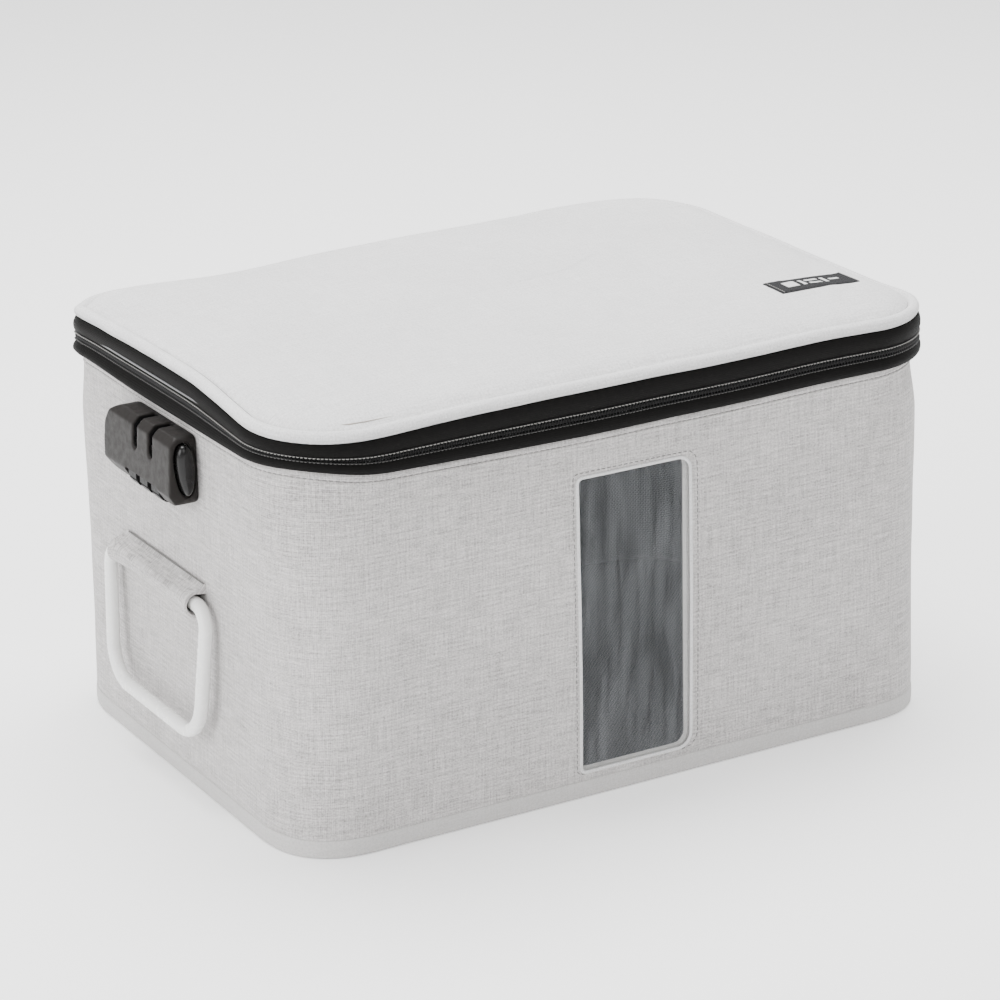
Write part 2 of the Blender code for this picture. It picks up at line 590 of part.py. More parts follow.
def build_dials():
    bore = arc((left_x(DIAL_P), DIAL_Z), SHAFT_HOLE_R, 0, 330, 11)
    for number, y in enumerate(DIAL_Y, start=1):
        dial = prism(f"lock_dial_{number}", dial_outline(), "Y", y - DIAL_W / 2, y + DIAL_W / 2,
                     "button_plastic", (left_x(DIAL_P), y, DIAL_Z))
        combine(dial, prism(f"cut_dial_bore_{number}", bore, "Y", y - DIAL_W, y + DIAL_W, "steel"))
    shaft = arc((left_x(DIAL_P), DIAL_Z), SHAFT_R, 0, 330, 11)
    prism("lock_dial_shaft", shaft, "Y", EAR_Y[0] - 1.0, EAR_Y[1] + EAR_T + 1.0, "steel")


def build_button():
    """Domed push button in the lock's front end."""
    flange_y = LOCK_Y[0] + LOCK_WALL + GAP
    origin = (left_x(BUTTON_P), LOCK_Y[0], BUTTON_Z)
    layers = ((flange_y + 1.6, 0.0), (LOCK_Y[0] - 1.4, 0.0), (LOCK_Y[0] - 2.8, -0.7),
              (LOCK_Y[0] - 3.7, -1.8), (LOCK_Y[0] - BUTTON_PROUD, -3.2))
    loops = [[(x, y, z) for x, z in button_outline(margin)] for y, margin in layers]
    button = loft("lock_button", loops, "button_plastic", origin=origin, smooth=50)
    stem = box("add_button_stem", (left_x(LATCH_P[1]), flange_y + 1.2, LATCH_Z[0]),
               (left_x(LATCH_P[0]), -25.0, LATCH_Z[1]), "button_plastic")
    combine(button, stem, "UNION")


def build_latch():
    """Steel bar under the slots, with a hook that reaches across each of them."""
    low, high = LATCH_Z
    rear = SLOT_Y[1] + SLOT_W / 2 + 11.0
    outline = [(-25.0 + GAP, low), (rear, low), (rear, high)]
    for y in reversed(SLOT_Y):
        tip, post = y - SLOT_W / 2 + 0.2, y + SLOT_W / 2 + 0.2
        outline += [(post + HOOK_T, high), (post + HOOK_T, HOOK_Z), (tip, HOOK_Z), (tip, HOOK_Z - HOOK_T),
                    (post, HOOK_Z - HOOK_T), (post, high)]
    outline.append((-25.0 + GAP, high))
    origin = (left_x(LATCH_P[0]), 0.0, low)
    prism("lock_latch", outline, "X", left_x(LATCH_P[1]), left_x(LATCH_P[0]), "steel", origin)
    return rear


def build_spring(rear):
    """Coil spring between the latch and the housing's rear end, drawn at its pressed length."""
    radius, wire, turns, steps = 2.0, 0.35, 5, 12
    start, end = rear + BUTTON_TRAVEL + GAP + wire, LOCK_Y[1] - LOCK_WALL - 1.8
    middle_z = (LATCH_Z[0] + LATCH_Z[1]) / 2
    middle_x = left_x(sum(LATCH_P) / 2)
    loops = []
    for i in range(turns * steps + 1):
        angle = math.tau * i / steps
        out = Vector((math.cos(angle), 0.0, math.sin(angle)))
        centre = Vector((middle_x, start + (end - start) * i / (turns * steps), middle_z)) + out * radius
        loops.append([centre + out * wire * math.cos(math.tau * k / 5)
                      + Vector((0.0, 1.0, 0.0)) * wire * math.sin(math.tau * k / 5) for k in range(5)])
    loft("lock_spring", loops, "steel", smooth=80)


def build_lock_fasteners():
    """Plate inside the wall and the two screws that hold the lock through it."""
    inside = LINING_IN + GAP
    plate = prism("lock_backing_plate", rounded_rectangle(36.0, 12.0, 3.0, 3), "X", left_x(-inside),
                  left_x(-inside - 1.0), "steel")
    plate.location = (0.0, (sum(SCREW_Y) / 2) * METRES_PER_MM, (SCREW_Z - PLATE_DROP) * METRES_PER_MM)
    for number, y in enumerate(SCREW_Y, start=1):
        hole = prism(f"cut_plate_screw_{number}", arc((y, SCREW_Z), SCREW_HOLE_R, 0, 330, 11), "X",
                     left_x(0), left_x(-inside - 5), "steel")
        combine(plate, hole)
        shank = prism(f"lock_screw_{number}", arc((y, SCREW_Z), SCREW_R, 0, 330, 11), "X", left_x(6.2),
                      left_x(-inside - 1.6), "steel")
        head = prism(f"add_screw_head_{number}", arc((y, SCREW_Z), 3.0, 0, 330, 11), "X",
                     left_x(-inside - 1.0 - GAP), left_x(-inside - 2.8), "steel")
        combine(shank, head, "UNION")


def build_lock():
    build_lock_housing()
    build_lock_chassis()
    build_dials()
    build_button()
    build_spring(build_latch())
    build_lock_fasteners()


def main():
    clear_scene()
    build_base()
    build_walls()
    build_corner_pads()
    build_window()
    build_zip_band()
    build_lid()
    build_sliders()
    build_handle("left", -1)
    build_handle("right", 1)
    build_lock()


main()
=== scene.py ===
"""Looks for the soft-sided document box: sewn fabric, zip, lock, handles, floor, light and camera.

Points, sizes and the sizes given to soft_noise are in millimetres; material scales and Blender's own settings
are in metres.
"""
import json
import math

import bmesh
import bpy
from mathutils import Matrix, Vector, noise
from mathutils.bvhtree import BVHTree


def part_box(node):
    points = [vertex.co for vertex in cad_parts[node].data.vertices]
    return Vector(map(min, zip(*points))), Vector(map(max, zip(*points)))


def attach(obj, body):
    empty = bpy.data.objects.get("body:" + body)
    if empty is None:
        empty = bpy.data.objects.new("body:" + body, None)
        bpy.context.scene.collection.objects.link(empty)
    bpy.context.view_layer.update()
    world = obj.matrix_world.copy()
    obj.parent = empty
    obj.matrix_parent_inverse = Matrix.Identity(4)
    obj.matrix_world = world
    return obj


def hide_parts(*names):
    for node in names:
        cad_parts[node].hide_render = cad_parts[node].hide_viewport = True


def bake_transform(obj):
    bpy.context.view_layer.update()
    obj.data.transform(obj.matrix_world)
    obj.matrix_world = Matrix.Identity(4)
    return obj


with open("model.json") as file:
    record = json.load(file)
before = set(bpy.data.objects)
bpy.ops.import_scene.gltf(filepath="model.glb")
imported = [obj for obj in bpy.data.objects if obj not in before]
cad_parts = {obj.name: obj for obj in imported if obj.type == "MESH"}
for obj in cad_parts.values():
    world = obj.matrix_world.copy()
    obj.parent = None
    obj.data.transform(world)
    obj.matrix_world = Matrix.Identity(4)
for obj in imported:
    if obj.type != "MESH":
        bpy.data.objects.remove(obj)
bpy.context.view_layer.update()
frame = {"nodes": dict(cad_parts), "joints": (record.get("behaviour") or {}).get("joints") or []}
MM = 0.001
NODES = frame["nodes"]


def node_box(name):
    """A CAD node's lowest and highest corners, in millimetres."""
    low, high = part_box(name)
    return low / MM, high / MM


# ---------------------------------------------------------------- sizes read from the frame (mm)

COVER_LOW, COVER_HIGH = node_box("body_cover")
TAPE_LOW, TAPE_HIGH = node_box("lower_zip_tape")
UPPER_LOW, UPPER_HIGH = node_box("upper_zip_tape")
COIL_LOW, COIL_HIGH = node_box("lower_zip_coil")
UPPER_COIL_LOW, UPPER_COIL_HIGH = node_box("upper_zip_coil")
PIPING_LOW, PIPING_HIGH = node_box("lid_piping")
TOP_HIGH = node_box("lid_top_panel")[1]
PANE_LOW, PANE_HIGH = node_box("window_pane")
BINDING_LOW, BINDING_HIGH = node_box("bottom_binding")
LINING_LOW, LINING_HIGH = node_box("body_lining")
LOCK_LOW, LOCK_HIGH = node_box("lock_housing")
LABEL_LOW, LABEL_HIGH = node_box("lid_label")
STRIP_LOW, STRIP_HIGH = node_box("hinge_strip")

BODY_R, BAND_R = 44.0, 46.0
WALL_X, WALL_Y, WALL_TOP = COVER_HIGH.x, COVER_HIGH.y, COVER_HIGH.z
BAND_X, BAND_Y = TAPE_HIGH.x, TAPE_HIGH.y
ZIP_Z = (COIL_HIGH.z + UPPER_COIL_LOW.z) / 2
COIL_END_X = 134.0
WINDOW_LAP, WINDOW_R = 8.0, 6.0
WINDOW = (PANE_HIGH.x - WINDOW_LAP, PANE_LOW.z + WINDOW_LAP, PANE_HIGH.z - WINDOW_LAP)


# ---------------------------------------------------------------- node helpers for materials


def new_material(name):
    made = bpy.data.materials.new(name)
    made.use_nodes = True
    return made, made.node_tree, made.node_tree.nodes["Principled BSDF"]


def plug(node, inputs):
    """Link sockets and set constants, by a node input's name or number."""
    for key, value in inputs.items():
        socket = node.inputs[key]
        if isinstance(value, bpy.types.NodeSocket):
            node.id_data.links.new(value, socket)
        elif socket.type == "RGBA":
            socket.default_value = (*value, 1.0)
        else:
            socket.default_value = value


def add_node(tree, kind, inputs=None, **settings):
    made = tree.nodes.new(kind)
    for key, value in settings.items():
        setattr(made, key, value)
    plug(made, inputs or {})
    return made


def calc(tree, operation, first, second=0.0):
    return add_node(tree, "ShaderNodeMath", {0: first, 1: second}, operation=operation).outputs[0]


def total(tree, *terms):
    """Sum of each value times its share."""
    parts = [calc(tree, "MULTIPLY", value, share) for value, share in terms]
    whole = parts[0]
    for part in parts[1:]:
        whole = calc(tree, "ADD", whole, part)
    return whole


def vector_times(tree, vector, factors):
    return add_node(tree, "ShaderNodeVectorMath", {0: vector, 1: factors}, operation="MULTIPLY").outputs[0]


def noise_value(tree, vector, scale, detail=3.0, roughness=0.55, distortion=0.0):
    inputs = {"Vector": vector, "Scale": scale, "Detail": detail, "Roughness": roughness,
              "Distortion": distortion}
    return add_node(tree, "ShaderNodeTexNoise", inputs).outputs["Fac"]


def spread(tree, value, low, high, new_low=0.0, new_high=1.0):
    inputs = {0: value, 1: low, 2: high, 3: new_low, 4: new_high}
    return add_node(tree, "ShaderNodeMapRange", inputs).outputs[0]


def mix_colours(tree, factor, first, second):
    return add_node(tree, "ShaderNodeMix", {0: factor, 6: first, 7: second}, data_type="RGBA").outputs[2]


def bump(tree, height, distance, strength=1.0, normal=None):
    inputs = {"Height": height, "Distance": distance, "Strength": strength}
    if normal is not None:
        inputs["Normal"] = normal
    return add_node(tree, "ShaderNodeBump", inputs).outputs[0]


def ridges(tree, value, pitch):
    """Rounded ridges, one for each pitch (in metres) of the value."""
    return calc(tree, "ABSOLUTE", calc(tree, "SINE", calc(tree, "MULTIPLY", value, math.pi / pitch)))


def cloth_vector(tree):
    """The cloth's own coordinates, in metres along and across it."""
    return add_node(tree, "ShaderNodeUVMap", uv_map="cloth").outputs[0]


def object_vector(tree):
    return add_node(tree, "ShaderNodeTexCoord").outputs["Object"]


def weave_height(tree, vector, pitch):
    """Plain weave: threads along and across that take turns on top. pitch in metres."""
    parts = add_node(tree, "ShaderNodeSeparateXYZ", {0: vector})
    turn = add_node(tree, "ShaderNodeTexChecker", {"Vector": vector, "Scale": 1.0 / pitch}).outputs["Fac"]
    warp, weft = ridges(tree, parts.outputs[0], pitch), ridges(tree, parts.outputs[1], pitch)
    return total(tree, (warp, turn), (weft, calc(tree, "SUBTRACT", 1.0, turn)))


def woven_fabric(name, light, dark, pitch=0.0005, slub=0.5, sheen=0.25, crinkle=0.4):
    """Two-tone woven cloth with slubs along the weft, faint warp streaks and soft creases."""
    made, tree, shader = new_material(name)
    cloth = cloth_vector(tree)
    weft = noise_value(tree, vector_times(tree, cloth, (60.0, 900.0, 1.0)), 1.0, 4.0, 0.7)
    warp = noise_value(tree, vector_times(tree, cloth, (1000.0, 50.0, 1.0)), 1.0, 3.0, 0.65)
    melange = noise_value(tree, cloth, 950.0, 3.0, 0.7)
    cloud = noise_value(tree, cloth, 14.0, 2.0, 0.5)
    weave = weave_height(tree, cloth, pitch)
    streak = total(tree, (spread(tree, weft, 0.36, 0.64), 0.6), (spread(tree, warp, 0.36, 0.64), 0.4))
    tone = total(tree, (streak, slub), (spread(tree, melange, 0.32, 0.68), 1.0 - slub),
                 (calc(tree, "SUBTRACT", cloud, 0.5), 0.25), (calc(tree, "SUBTRACT", weave, 0.6), 0.35))
    normal = bump(tree, noise_value(tree, object_vector(tree), 38.0, 3.0, 0.55), 0.0012 * crinkle)
    normal = bump(tree, streak, 0.00014, 0.7, normal)
    normal = bump(tree, weave, 0.00012, 0.8, normal)
    plug(shader, {"Base Color": mix_colours(tree, tone, dark, light), "Normal": normal, "Roughness": 0.88,
                  "Sheen Weight": sheen, "Sheen Roughness": 0.5, "Specular IOR Level": 0.25})
    return made


def zip_tape_material(name):
    """Black herringbone tape: fine ribs along it and dusty highlights."""
    made, tree, shader = new_material(name)
    cloth = cloth_vector(tree)
    along, across, _ = add_node(tree, "ShaderNodeSeparateXYZ", {0: cloth}).outputs
    slant = calc(tree, "ADD", along, calc(tree, "MULTIPLY", across, 0.9))
    dust = noise_value(tree, cloth, 260.0, 4.0, 0.65)
    height = total(tree, (ridges(tree, across, 0.0009), 0.6), (ridges(tree, slant, 0.0006), 0.4))
    tone = total(tree, (height, 0.55), (spread(tree, dust, 0.3, 0.75), 0.45))
    plug(shader, {"Base Color": mix_colours(tree, tone, (0.0006, 0.0006, 0.0006), (0.0052, 0.0047, 0.0043)),
                  "Normal": bump(tree, height, 0.00015, 0.9), "Roughness": 0.62, "Specular IOR Level": 0.09})
    return made


def thread_material(name, colour, rough=0.6):
    """Twisted sewing thread; also the dark tube of painted shade laid in the lid's groove."""
    made, tree, shader = new_material(name)
    fuzz = noise_value(tree, object_vector(tree), 3200.0, 2.0, 0.6)
    shade = mix_colours(tree, fuzz, [c * 0.75 for c in colour], [min(1.0, c * 1.2) for c in colour])
    plug(shader, {"Base Color": shade, "Normal": bump(tree, fuzz, 0.0001, 0.6), "Roughness": rough,
                  "Sheen Weight": 0.2})
    return made


def moulded_plastic(name, colour, rough, grain=2600.0, grain_depth=0.00003, mottled=0.06, specular=0.5,
                    uneven=1.0):
    """Moulded plastic: fine spark texture, slight tone drift and uneven gloss."""
    made, tree, shader = new_material(name)
    place = object_vector(tree)
    drift = noise_value(tree, place, 60.0, 3.0, 0.5)
    spark = noise_value(tree, place, grain, 3.0, 0.6)
    smear = noise_value(tree, place, 240.0, 4.0, 0.6)
    low, high = ([min(1.0, c * (1.0 + way * mottled)) for c in colour] for way in (-1, 1))
    gloss = spread(tree, smear, 0.3, 0.7, rough * (1.0 - 0.15 * uneven), rough * (1.0 + 0.15 * uneven))
    normal = bump(tree, spark, grain_depth, 0.6, bump(tree, smear, 0.00006 * uneven, 0.35))
    plug(shader, {"Base Color": mix_colours(tree, drift, low, high), "Normal": normal, "Roughness": gloss,
                  "Specular IOR Level": specular})
    return made


def metal(name, colour, rough, metallic=1.0, wear=0.3):
    """Plated or lacquered metal with fine scratches and rubbed spots."""
    made, tree, shader = new_material(name)
    place = object_vector(tree)
    scratch = noise_value(tree, vector_times(tree, place, (900.0, 120.0, 2400.0)), 1.0, 3.0, 0.7)
    spots = noise_value(tree, place, 420.0, 4.0, 0.6)
    worn = [c * (1.0 - wear) + 0.35 * wear for c in colour]
    plug(shader, {"Base Color": mix_colours(tree, spread(tree, spots, 0.45, 0.8), colour, worn),
                  "Roughness": spread(tree, scratch, 0.3, 0.7, rough * 0.8, rough * 1.3),
                  "Normal": bump(tree, scratch, 0.00002, 0.5), "Metallic": metallic})
    return made


def lining_material(name):
    """Silver-grey coated glass-fibre cloth: open weave under a satin skin, lightly creased; its tones are
    kept dark, partly the cloth's grey and partly painted shade of the closed box's inside.
    """
    made, tree, shader = new_material(name)
    cloth = cloth_vector(tree)
    weave = weave_height(tree, cloth, 0.0011)
    crease = noise_value(tree, object_vector(tree), 26.0, 5.0, 0.6, 0.6)
    tone = total(tree, (weave, 0.4), (noise_value(tree, cloth, 700.0, 3.0, 0.6), 0.6))
    # The dark range of tones: the grey cloth with painted shade of the inside of the closed box.
    plug(shader, {"Base Color": mix_colours(tree, tone, (0.06, 0.061, 0.064), (0.20, 0.203, 0.21)),
                  "Normal": bump(tree, weave, 0.0002, 0.7, bump(tree, crease, 0.0010, 0.6)),
                  "Roughness": 0.42, "Metallic": 0.25})
    return made


def board_material(name, light, dark):
    """Pressed fibre board or foam: fibres and pores."""
    made, tree, shader = new_material(name)
    place = object_vector(tree)
    fibre = noise_value(tree, vector_times(tree, place, (160.0, 160.0, 900.0)), 1.0, 5.0, 0.7)
    pores = noise_value(tree, place, 1500.0, 2.0, 0.5)
    plug(shader, {"Base Color": mix_colours(tree, spread(tree, fibre, 0.3, 0.7), dark, light),
                  "Normal": bump(tree, calc(tree, "ADD", fibre, pores), 0.0002, 0.6), "Roughness": 0.93})
    return made


def clear_sheet(name):
    """Soft clear PVC: almost invisible face on, with slow waves and faint upright smears."""
    made, tree, shader = new_material(name)
    place = object_vector(tree)
    waves = noise_value(tree, vector_times(tree, place, (30.0, 1.0, 11.0)), 1.0, 2.0, 0.5, 0.5)
    smear = noise_value(tree, vector_times(tree, place, (150.0, 1.0, 22.0)), 1.0, 4.0, 0.6)
    plug(shader, {"Normal": bump(tree, waves, 0.0022), "Base Color": (0.70, 0.73, 0.76),
                  "Roughness": spread(tree, smear, 0.35, 0.75, 0.04, 0.16),
                  "Alpha": spread(tree, smear, 0.40, 0.80, 0.03, 0.08), "Specular IOR Level": 0.6})
    return made


MATERIALS = {
    "grey": woven_fabric("grey_woven", (0.71, 0.685, 0.675), (0.165, 0.157, 0.153), pitch=0.0008,
                         slub=0.55),
    "binding": woven_fabric("binding_woven", (0.62, 0.605, 0.595), (0.43, 0.42, 0.41), pitch=0.00045,
                            slub=0.35, crinkle=0.25),
    "lid": woven_fabric("lid_woven", (0.90, 0.893, 0.893), (0.50, 0.495, 0.495), pitch=0.0006, slub=0.4,
                        crinkle=0.6),
    "tape": zip_tape_material("zip_tape"),
    "coil": moulded_plastic("zip_coil", (0.005, 0.005, 0.005), 0.35, 900.0, 0.00001, specular=0.3),
    "zip_thread": thread_material("zip_thread", (0.22, 0.215, 0.205), 0.45),
    "dim_thread": thread_material("dim_zip_thread", (0.05, 0.049, 0.047), 0.5),
    # Stitch thread darkened so the stitches read as dark dashes: partly the thread's grey, partly painted
    # shade of the sunken needle holes.
    "stitch_thread_painted_shade": thread_material("stitch_thread_painted_shade", (0.15, 0.147, 0.144)),
    "seam": thread_material("dark_seam", (0.13, 0.125, 0.12), 0.8),
    # A dark line for the groove between the lid top and its piping: painted shade.
    "groove": thread_material("groove_shade", (0.22, 0.216, 0.213), 0.9),
    "digit": moulded_plastic("digit_paint", (0.05, 0.05, 0.048), 0.6),
    "lock": moulded_plastic("lock_plastic", (0.0125, 0.0108, 0.0100), 0.50, 2200.0, 0.00004,
                            specular=0.16),
    "button": moulded_plastic("button_plastic", (0.003, 0.0028, 0.0028), 0.27, 2600.0, 0.000001,
                              specular=0.30, uneven=0.15),
    "dial": moulded_plastic("dial_plastic", (0.004, 0.004, 0.004), 0.45, specular=0.2),
    # Darker copy of the lock plastic for the housing's deep faces: painted shade in its slots and openings.
    "dark": moulded_plastic("lock_recess_painted_shade", (0.004, 0.004, 0.004), 0.6, specular=0.1),
    "handle": moulded_plastic("handle_plastic", (0.76, 0.76, 0.745), 0.26, 1800.0, 0.00002, 0.02),
    "steel": metal("zinc_steel", (0.62, 0.62, 0.63), 0.28),
    "zip_metal": metal("black_zip_metal", (0.045, 0.045, 0.047), 0.34, 0.55, 0.2),
    "lining": lining_material("silver_lining"),
    "board": board_material("fibre_board", (0.40, 0.37, 0.33), (0.27, 0.25, 0.22)),
    "foam": board_material("pale_foam", (0.78, 0.77, 0.75), (0.68, 0.67, 0.65)),
    "pane": clear_sheet("clear_pvc"),
    "label": woven_fabric("label_woven", (0.016, 0.016, 0.018), (0.003, 0.003, 0.0035), pitch=0.0004,
                          slub=0.3, sheen=0.05, crinkle=0.2),
    "mark": woven_fabric("mark_woven", (0.80, 0.80, 0.79), (0.55, 0.55, 0.55), pitch=0.0004, slub=0.4,
                         crinkle=0.1),
}


# ---------------------------------------------------------------- mesh helpers (points in mm)


def new_object(name, data):
    made = bpy.data.objects.new(name, data)
    bpy.context.collection.objects.link(made)
    return made


def finish_mesh(name, verts, faces, look, body, uvs=None, smooth=40.0):
    """An object from points in millimetres; uvs is one (u, v) in millimetres per point."""
    mesh = bpy.data.meshes.new(name)
    mesh.from_pydata([tuple(c * MM for c in v) for v in verts], [], faces)
    mesh.validate()
    if uvs is not None:
        layer = mesh.uv_layers.new(name="cloth")
        for loop in mesh.loops:
            layer.data[loop.index].uv = [c * MM for c in uvs[loop.vertex_index]]
    edit = bmesh.new()
    edit.from_mesh(mesh)
    bmesh.ops.recalc_face_normals(edit, faces=edit.faces)
    edit.to_mesh(mesh)
    edit.free()
    mesh.materials.append(MATERIALS[look])
    mesh.shade_smooth()
    mesh.set_sharp_from_angle(angle=math.radians(smooth))
    made = new_object(name, mesh)
    if body:
        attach(made, body)
    return made


def grid_faces(rows, columns, close_rows=False, close_columns=True):
    """Quads over rows of points; a closed direction joins its last to its first."""
    faces = []
    for i in range(rows if close_rows else rows - 1):
        for j in range(columns if close_columns else columns - 1):
            here, there = i * columns, (i + 1) % rows * columns
            following = (j + 1) % columns
            faces.append((here + j, here + following, there + following, there + j))
    return faces


def tube_faces(start, rows, sides):
    """Faces of a closed tube: rings of points from number start on, capped at both ends."""
    faces = [tuple(start + v for v in face) for face in grid_faces(rows, sides)]
    faces.append(tuple(start + k for k in reversed(range(sides))))
    faces.append(tuple(start + (rows - 1) * sides + k for k in range(sides)))
    return faces


def thin_sheet(name, span_u, span_v, columns, rows, point, look, body, smooth=50.0):
    """A thin closed sheet over a grid.

    point(layer, u, v, at_edge) gives its face (layer 0) and its back (layer 1).
    """
    verts, uvs = [], []
    for layer in (0, 1):
        for i in range(rows + 1):
            for j in range(columns + 1):
                u = span_u[0] + (span_u[1] - span_u[0]) * j / columns
                v = span_v[0] + (span_v[1] - span_v[0]) * i / rows
                verts.append(point(layer, u, v, min(j, columns - j, i, rows - i) == 0))
                uvs.append((u, v))
    across, size = columns + 1, (rows + 1) * (columns + 1)
    faces = grid_faces(rows + 1, across, close_columns=False)
    faces += [tuple(size + v for v in reversed(face)) for face in faces]
    border = list(range(across)) + [i * across + columns for i in range(1, rows + 1)]
    border += [rows * across + j for j in reversed(range(columns))]
    border += [i * across for i in reversed(range(1, rows))]
    faces += [(a, b, size + b, size + a) for a, b in zip(border, border[1:] + border[:1])]
    return finish_mesh(name, verts, faces, look, body, uvs, smooth)


class Loop:
    """A rounded rectangle walked clockwise from the middle of its rear side, in mm."""

    def __init__(self, half_x, half_y, radius):
        self.half_x, self.half_y, self.radius = half_x, half_y, radius
        self.long, self.short = 2 * (half_x - radius), 2 * (half_y - radius)
        self.corner = math.pi * radius / 2
        self.length = 2 * (self.long + self.short) + 4 * self.corner

    def at(self, s):
        """(x, y, outward x, outward y) at distance s."""
        s %= self.length
        half_long, x, y, r = self.long / 2, self.half_x, self.half_y, self.radius
        runs = ((half_long, (0, y), (1, 0), (0, 1)), (self.corner, (x - r, y - r), 90, None),
                (self.short, (x, y - r), (0, -1), (1, 0)), (self.corner, (x - r, r - y), 0, None),
                (self.long, (x - r, -y), (-1, 0), (0, -1)), (self.corner, (r - x, r - y), -90, None),
                (self.short, (-x, r - y), (0, 1), (-1, 0)), (self.corner, (r - x, y - r), 180, None),
                (half_long, (r - x, y), (1, 0), (0, 1)))
        for length, start, way, out in runs:
            if s <= length or (length, start) == runs[-1][:2]:
                if out is None:
                    angle = math.radians(way) - s / r
                    return (start[0] + r * math.cos(angle), start[1] + r * math.sin(angle), math.cos(angle),
                            math.sin(angle))
                return start[0] + way[0] * s, start[1] + way[1] * s, out[0], out[1]
            s -= length
        raise ValueError("distance is off the loop")

    def stations(self, step):
        count = int(round(self.length / step / 4)) * 4
        return [self.length * i / count for i in range(count)]


BODY = Loop(WALL_X, WALL_Y, BODY_R)
BAND = Loop(BAND_X, BAND_Y, BAND_R)
NEAR_SHORT_WALL, NEAR_LONG_WALL = 178.0, 100.0
WALL_SWELL, CORNER_SWELL, FLARE_LEFT, FLARE_RIGHT, FLARE_TOP = 1.8, 3.6, 2.2, 0.6, 90.0
MOUTH_RUN, MOUTH_PINCH = 24.0, 2.6


def hump(value, centre, width):
    return math.exp(-((value - centre) / width) ** 2)


def soft_noise(x, y, z, size):
    return noise.noise(Vector((x / size + 3.1, y / size - 1.7, z / size + 0.4)))


def calm(x, y):
    """Small where rigid pieces sit on the short walls, 1 elsewhere."""
    on_short_wall = 1.0 if abs(x) > NEAR_SHORT_WALL else 0.0
    return 1.0 - 0.8 * on_short_wall * hump(y, 8.0, 60.0)


def ease(value, start, end):
    """0 before start, 1 after end, smooth between."""
    share = min(max((value - start) / (end - start), 0.0), 1.0)
    return share * share * (3.0 - 2.0 * share)


def swell(x, y, out_x, z):
    """How far the sewn wall stands out from its flat board, in mm."""
    rise = math.sin(math.pi * min(max(z / WALL_TOP, 0.0), 1.0)) ** 0.8
    across = 1.0 - abs(out_x)
    span = max(0.0, 1.0 - (x / WALL_X) ** 2)
    wall = WALL_SWELL * across * span * rise
    ripple = 0.55 * soft_noise(x, y, z, 70.0) + 0.22 * soft_noise(x, y, z, 24.0)
    turning = 4.0 * (out_x * out_x) * (1.0 - out_x * out_x)
    corner = CORNER_SWELL * turning * (1.0 - ease(z, WALL_TOP - 30.0, WALL_TOP))
    flare = (FLARE_LEFT if x < 0 else FLARE_RIGHT) * abs(out_x) * (1.0 - ease(z, 0.0, FLARE_TOP))
    return wall + corner + flare + (0.15 + rise) * ripple * calm(x, y)


def mouth_lift(x, y):
    """How far the sewn edge of the wall rises (it is drawn up beside the lock and sags in front), in mm."""
    left = 4.4 * ease(-x, 128.0, 178.0) + 1.5 * ease(-x, 160.0, 180.0) * ease(y, 20.0, 90.0)
    return left * (1.0 - ease(y, 96.0, 128.0)) - (2.2 * hump(x, -15.0, 80.0) if y < -NEAR_LONG_WALL else 0.0)


def lid_lift(x, y):
    """How far the edge of the lid rises or sags, in mm."""
    left = 5.0 * ease(-x, 164.0, 184.0) * (1.0 - ease(y, 92.0, 126.0)) * (1.0 - ease(-y, 25.0, 112.0))
    corner = -3.0 * math.exp(-(((x + 150.0) ** 2 + (y + 118.0) ** 2) / 46.0 ** 2))
    front = 1.6 * hump(x, 100.0, 60.0) if y < -NEAR_LONG_WALL else 0.0
    rear = -3.4 * hump(x, -88.0, 52.0) + 1.8 * hump(x, 118.0, 40.0) if y > NEAR_LONG_WALL else 0.0
    return left + corner + front + rear - 1.2 * hump(x, 184.0, 16.0) * hump(y, -40.0, 60.0)


def droop(x, y, z):
    """How far the sewn mouth and lid edge wander up or down, in mm."""
    weight = ease(z, WALL_TOP - MOUTH_RUN, WALL_TOP)
    wander = 0.7 * soft_noise(x, y, 0.0, 95.0) + 0.45 * soft_noise(x, y, 9.0, 38.0)
    share = ease(z, WALL_TOP, UPPER_HIGH.z)
    return weight * ((1.0 - share) * mouth_lift(x, y) + share * lid_lift(x, y) + wander * calm(x, y))


def pinch(x, y, z):
    """How far the left side of the mouth is drawn in, in mm."""
    return MOUTH_PINCH * ease(-x, 150.0, 182.0) * ease(z, WALL_TOP, WALL_TOP + 6.0) * hump(y, 10.0, 95.0)


def shaped(x, y, out_x, out_y, inset, z):
    """A point of the sewn shell, inset from the loop's outline at height z.

    The upper tape's inner edge is sewn flat to the lid, so it doesn't wander with the rest.
    """
    push = swell(x, y, out_x, z) if z < WALL_TOP else 0.35 * soft_noise(x, y, z, 45.0) * calm(x, y)
    reach = push - inset
    sewn = 1.0 - ease(inset, 2.5, 5.0) if UPPER_LOW.z < z < UPPER_HIGH.z + 0.1 else 1.0
    return x + out_x * reach + pinch(x, y, z), y + out_y * reach, z + droop(x, y, z) * sewn


def ring(name, loop, section, look, body, step=2.6):
    """A sewn ring: section is a closed list of (inset, z), or a function of distance that gives one."""
    verts, uvs = [], []
    stations = loop.stations(step)
    for s in stations:
        x, y, out_x, out_y = loop.at(s)
        points = section(s) if callable(section) else section
        run = 0.0
        for k, (inset, z) in enumerate(points):
            if k:
                run += math.dist(points[k], points[k - 1])
            verts.append(shaped(x, y, out_x, out_y, inset, z))
            uvs.append((s, run))
    faces = grid_faces(len(stations), len(verts) // len(stations), close_rows=True)
    return finish_mesh(name, verts, faces, look, body, uvs, 60.0)


def path_frames(points, closed=True, up=None):
    """(point, side, other) along a path of Vectors."""
    frames, count = [], len(points)
    for i, point in enumerate(points):
        before = points[i - 1] if closed or i else points[0]
        after = points[(i + 1) % count] if closed or i < count - 1 else points[-1]
        tangent = (after - before).normalized()
        side = tangent.cross(up or Vector((0, 0, 1))).normalized()
        frames.append((point, side, side.cross(tangent).normalized()))
    return frames


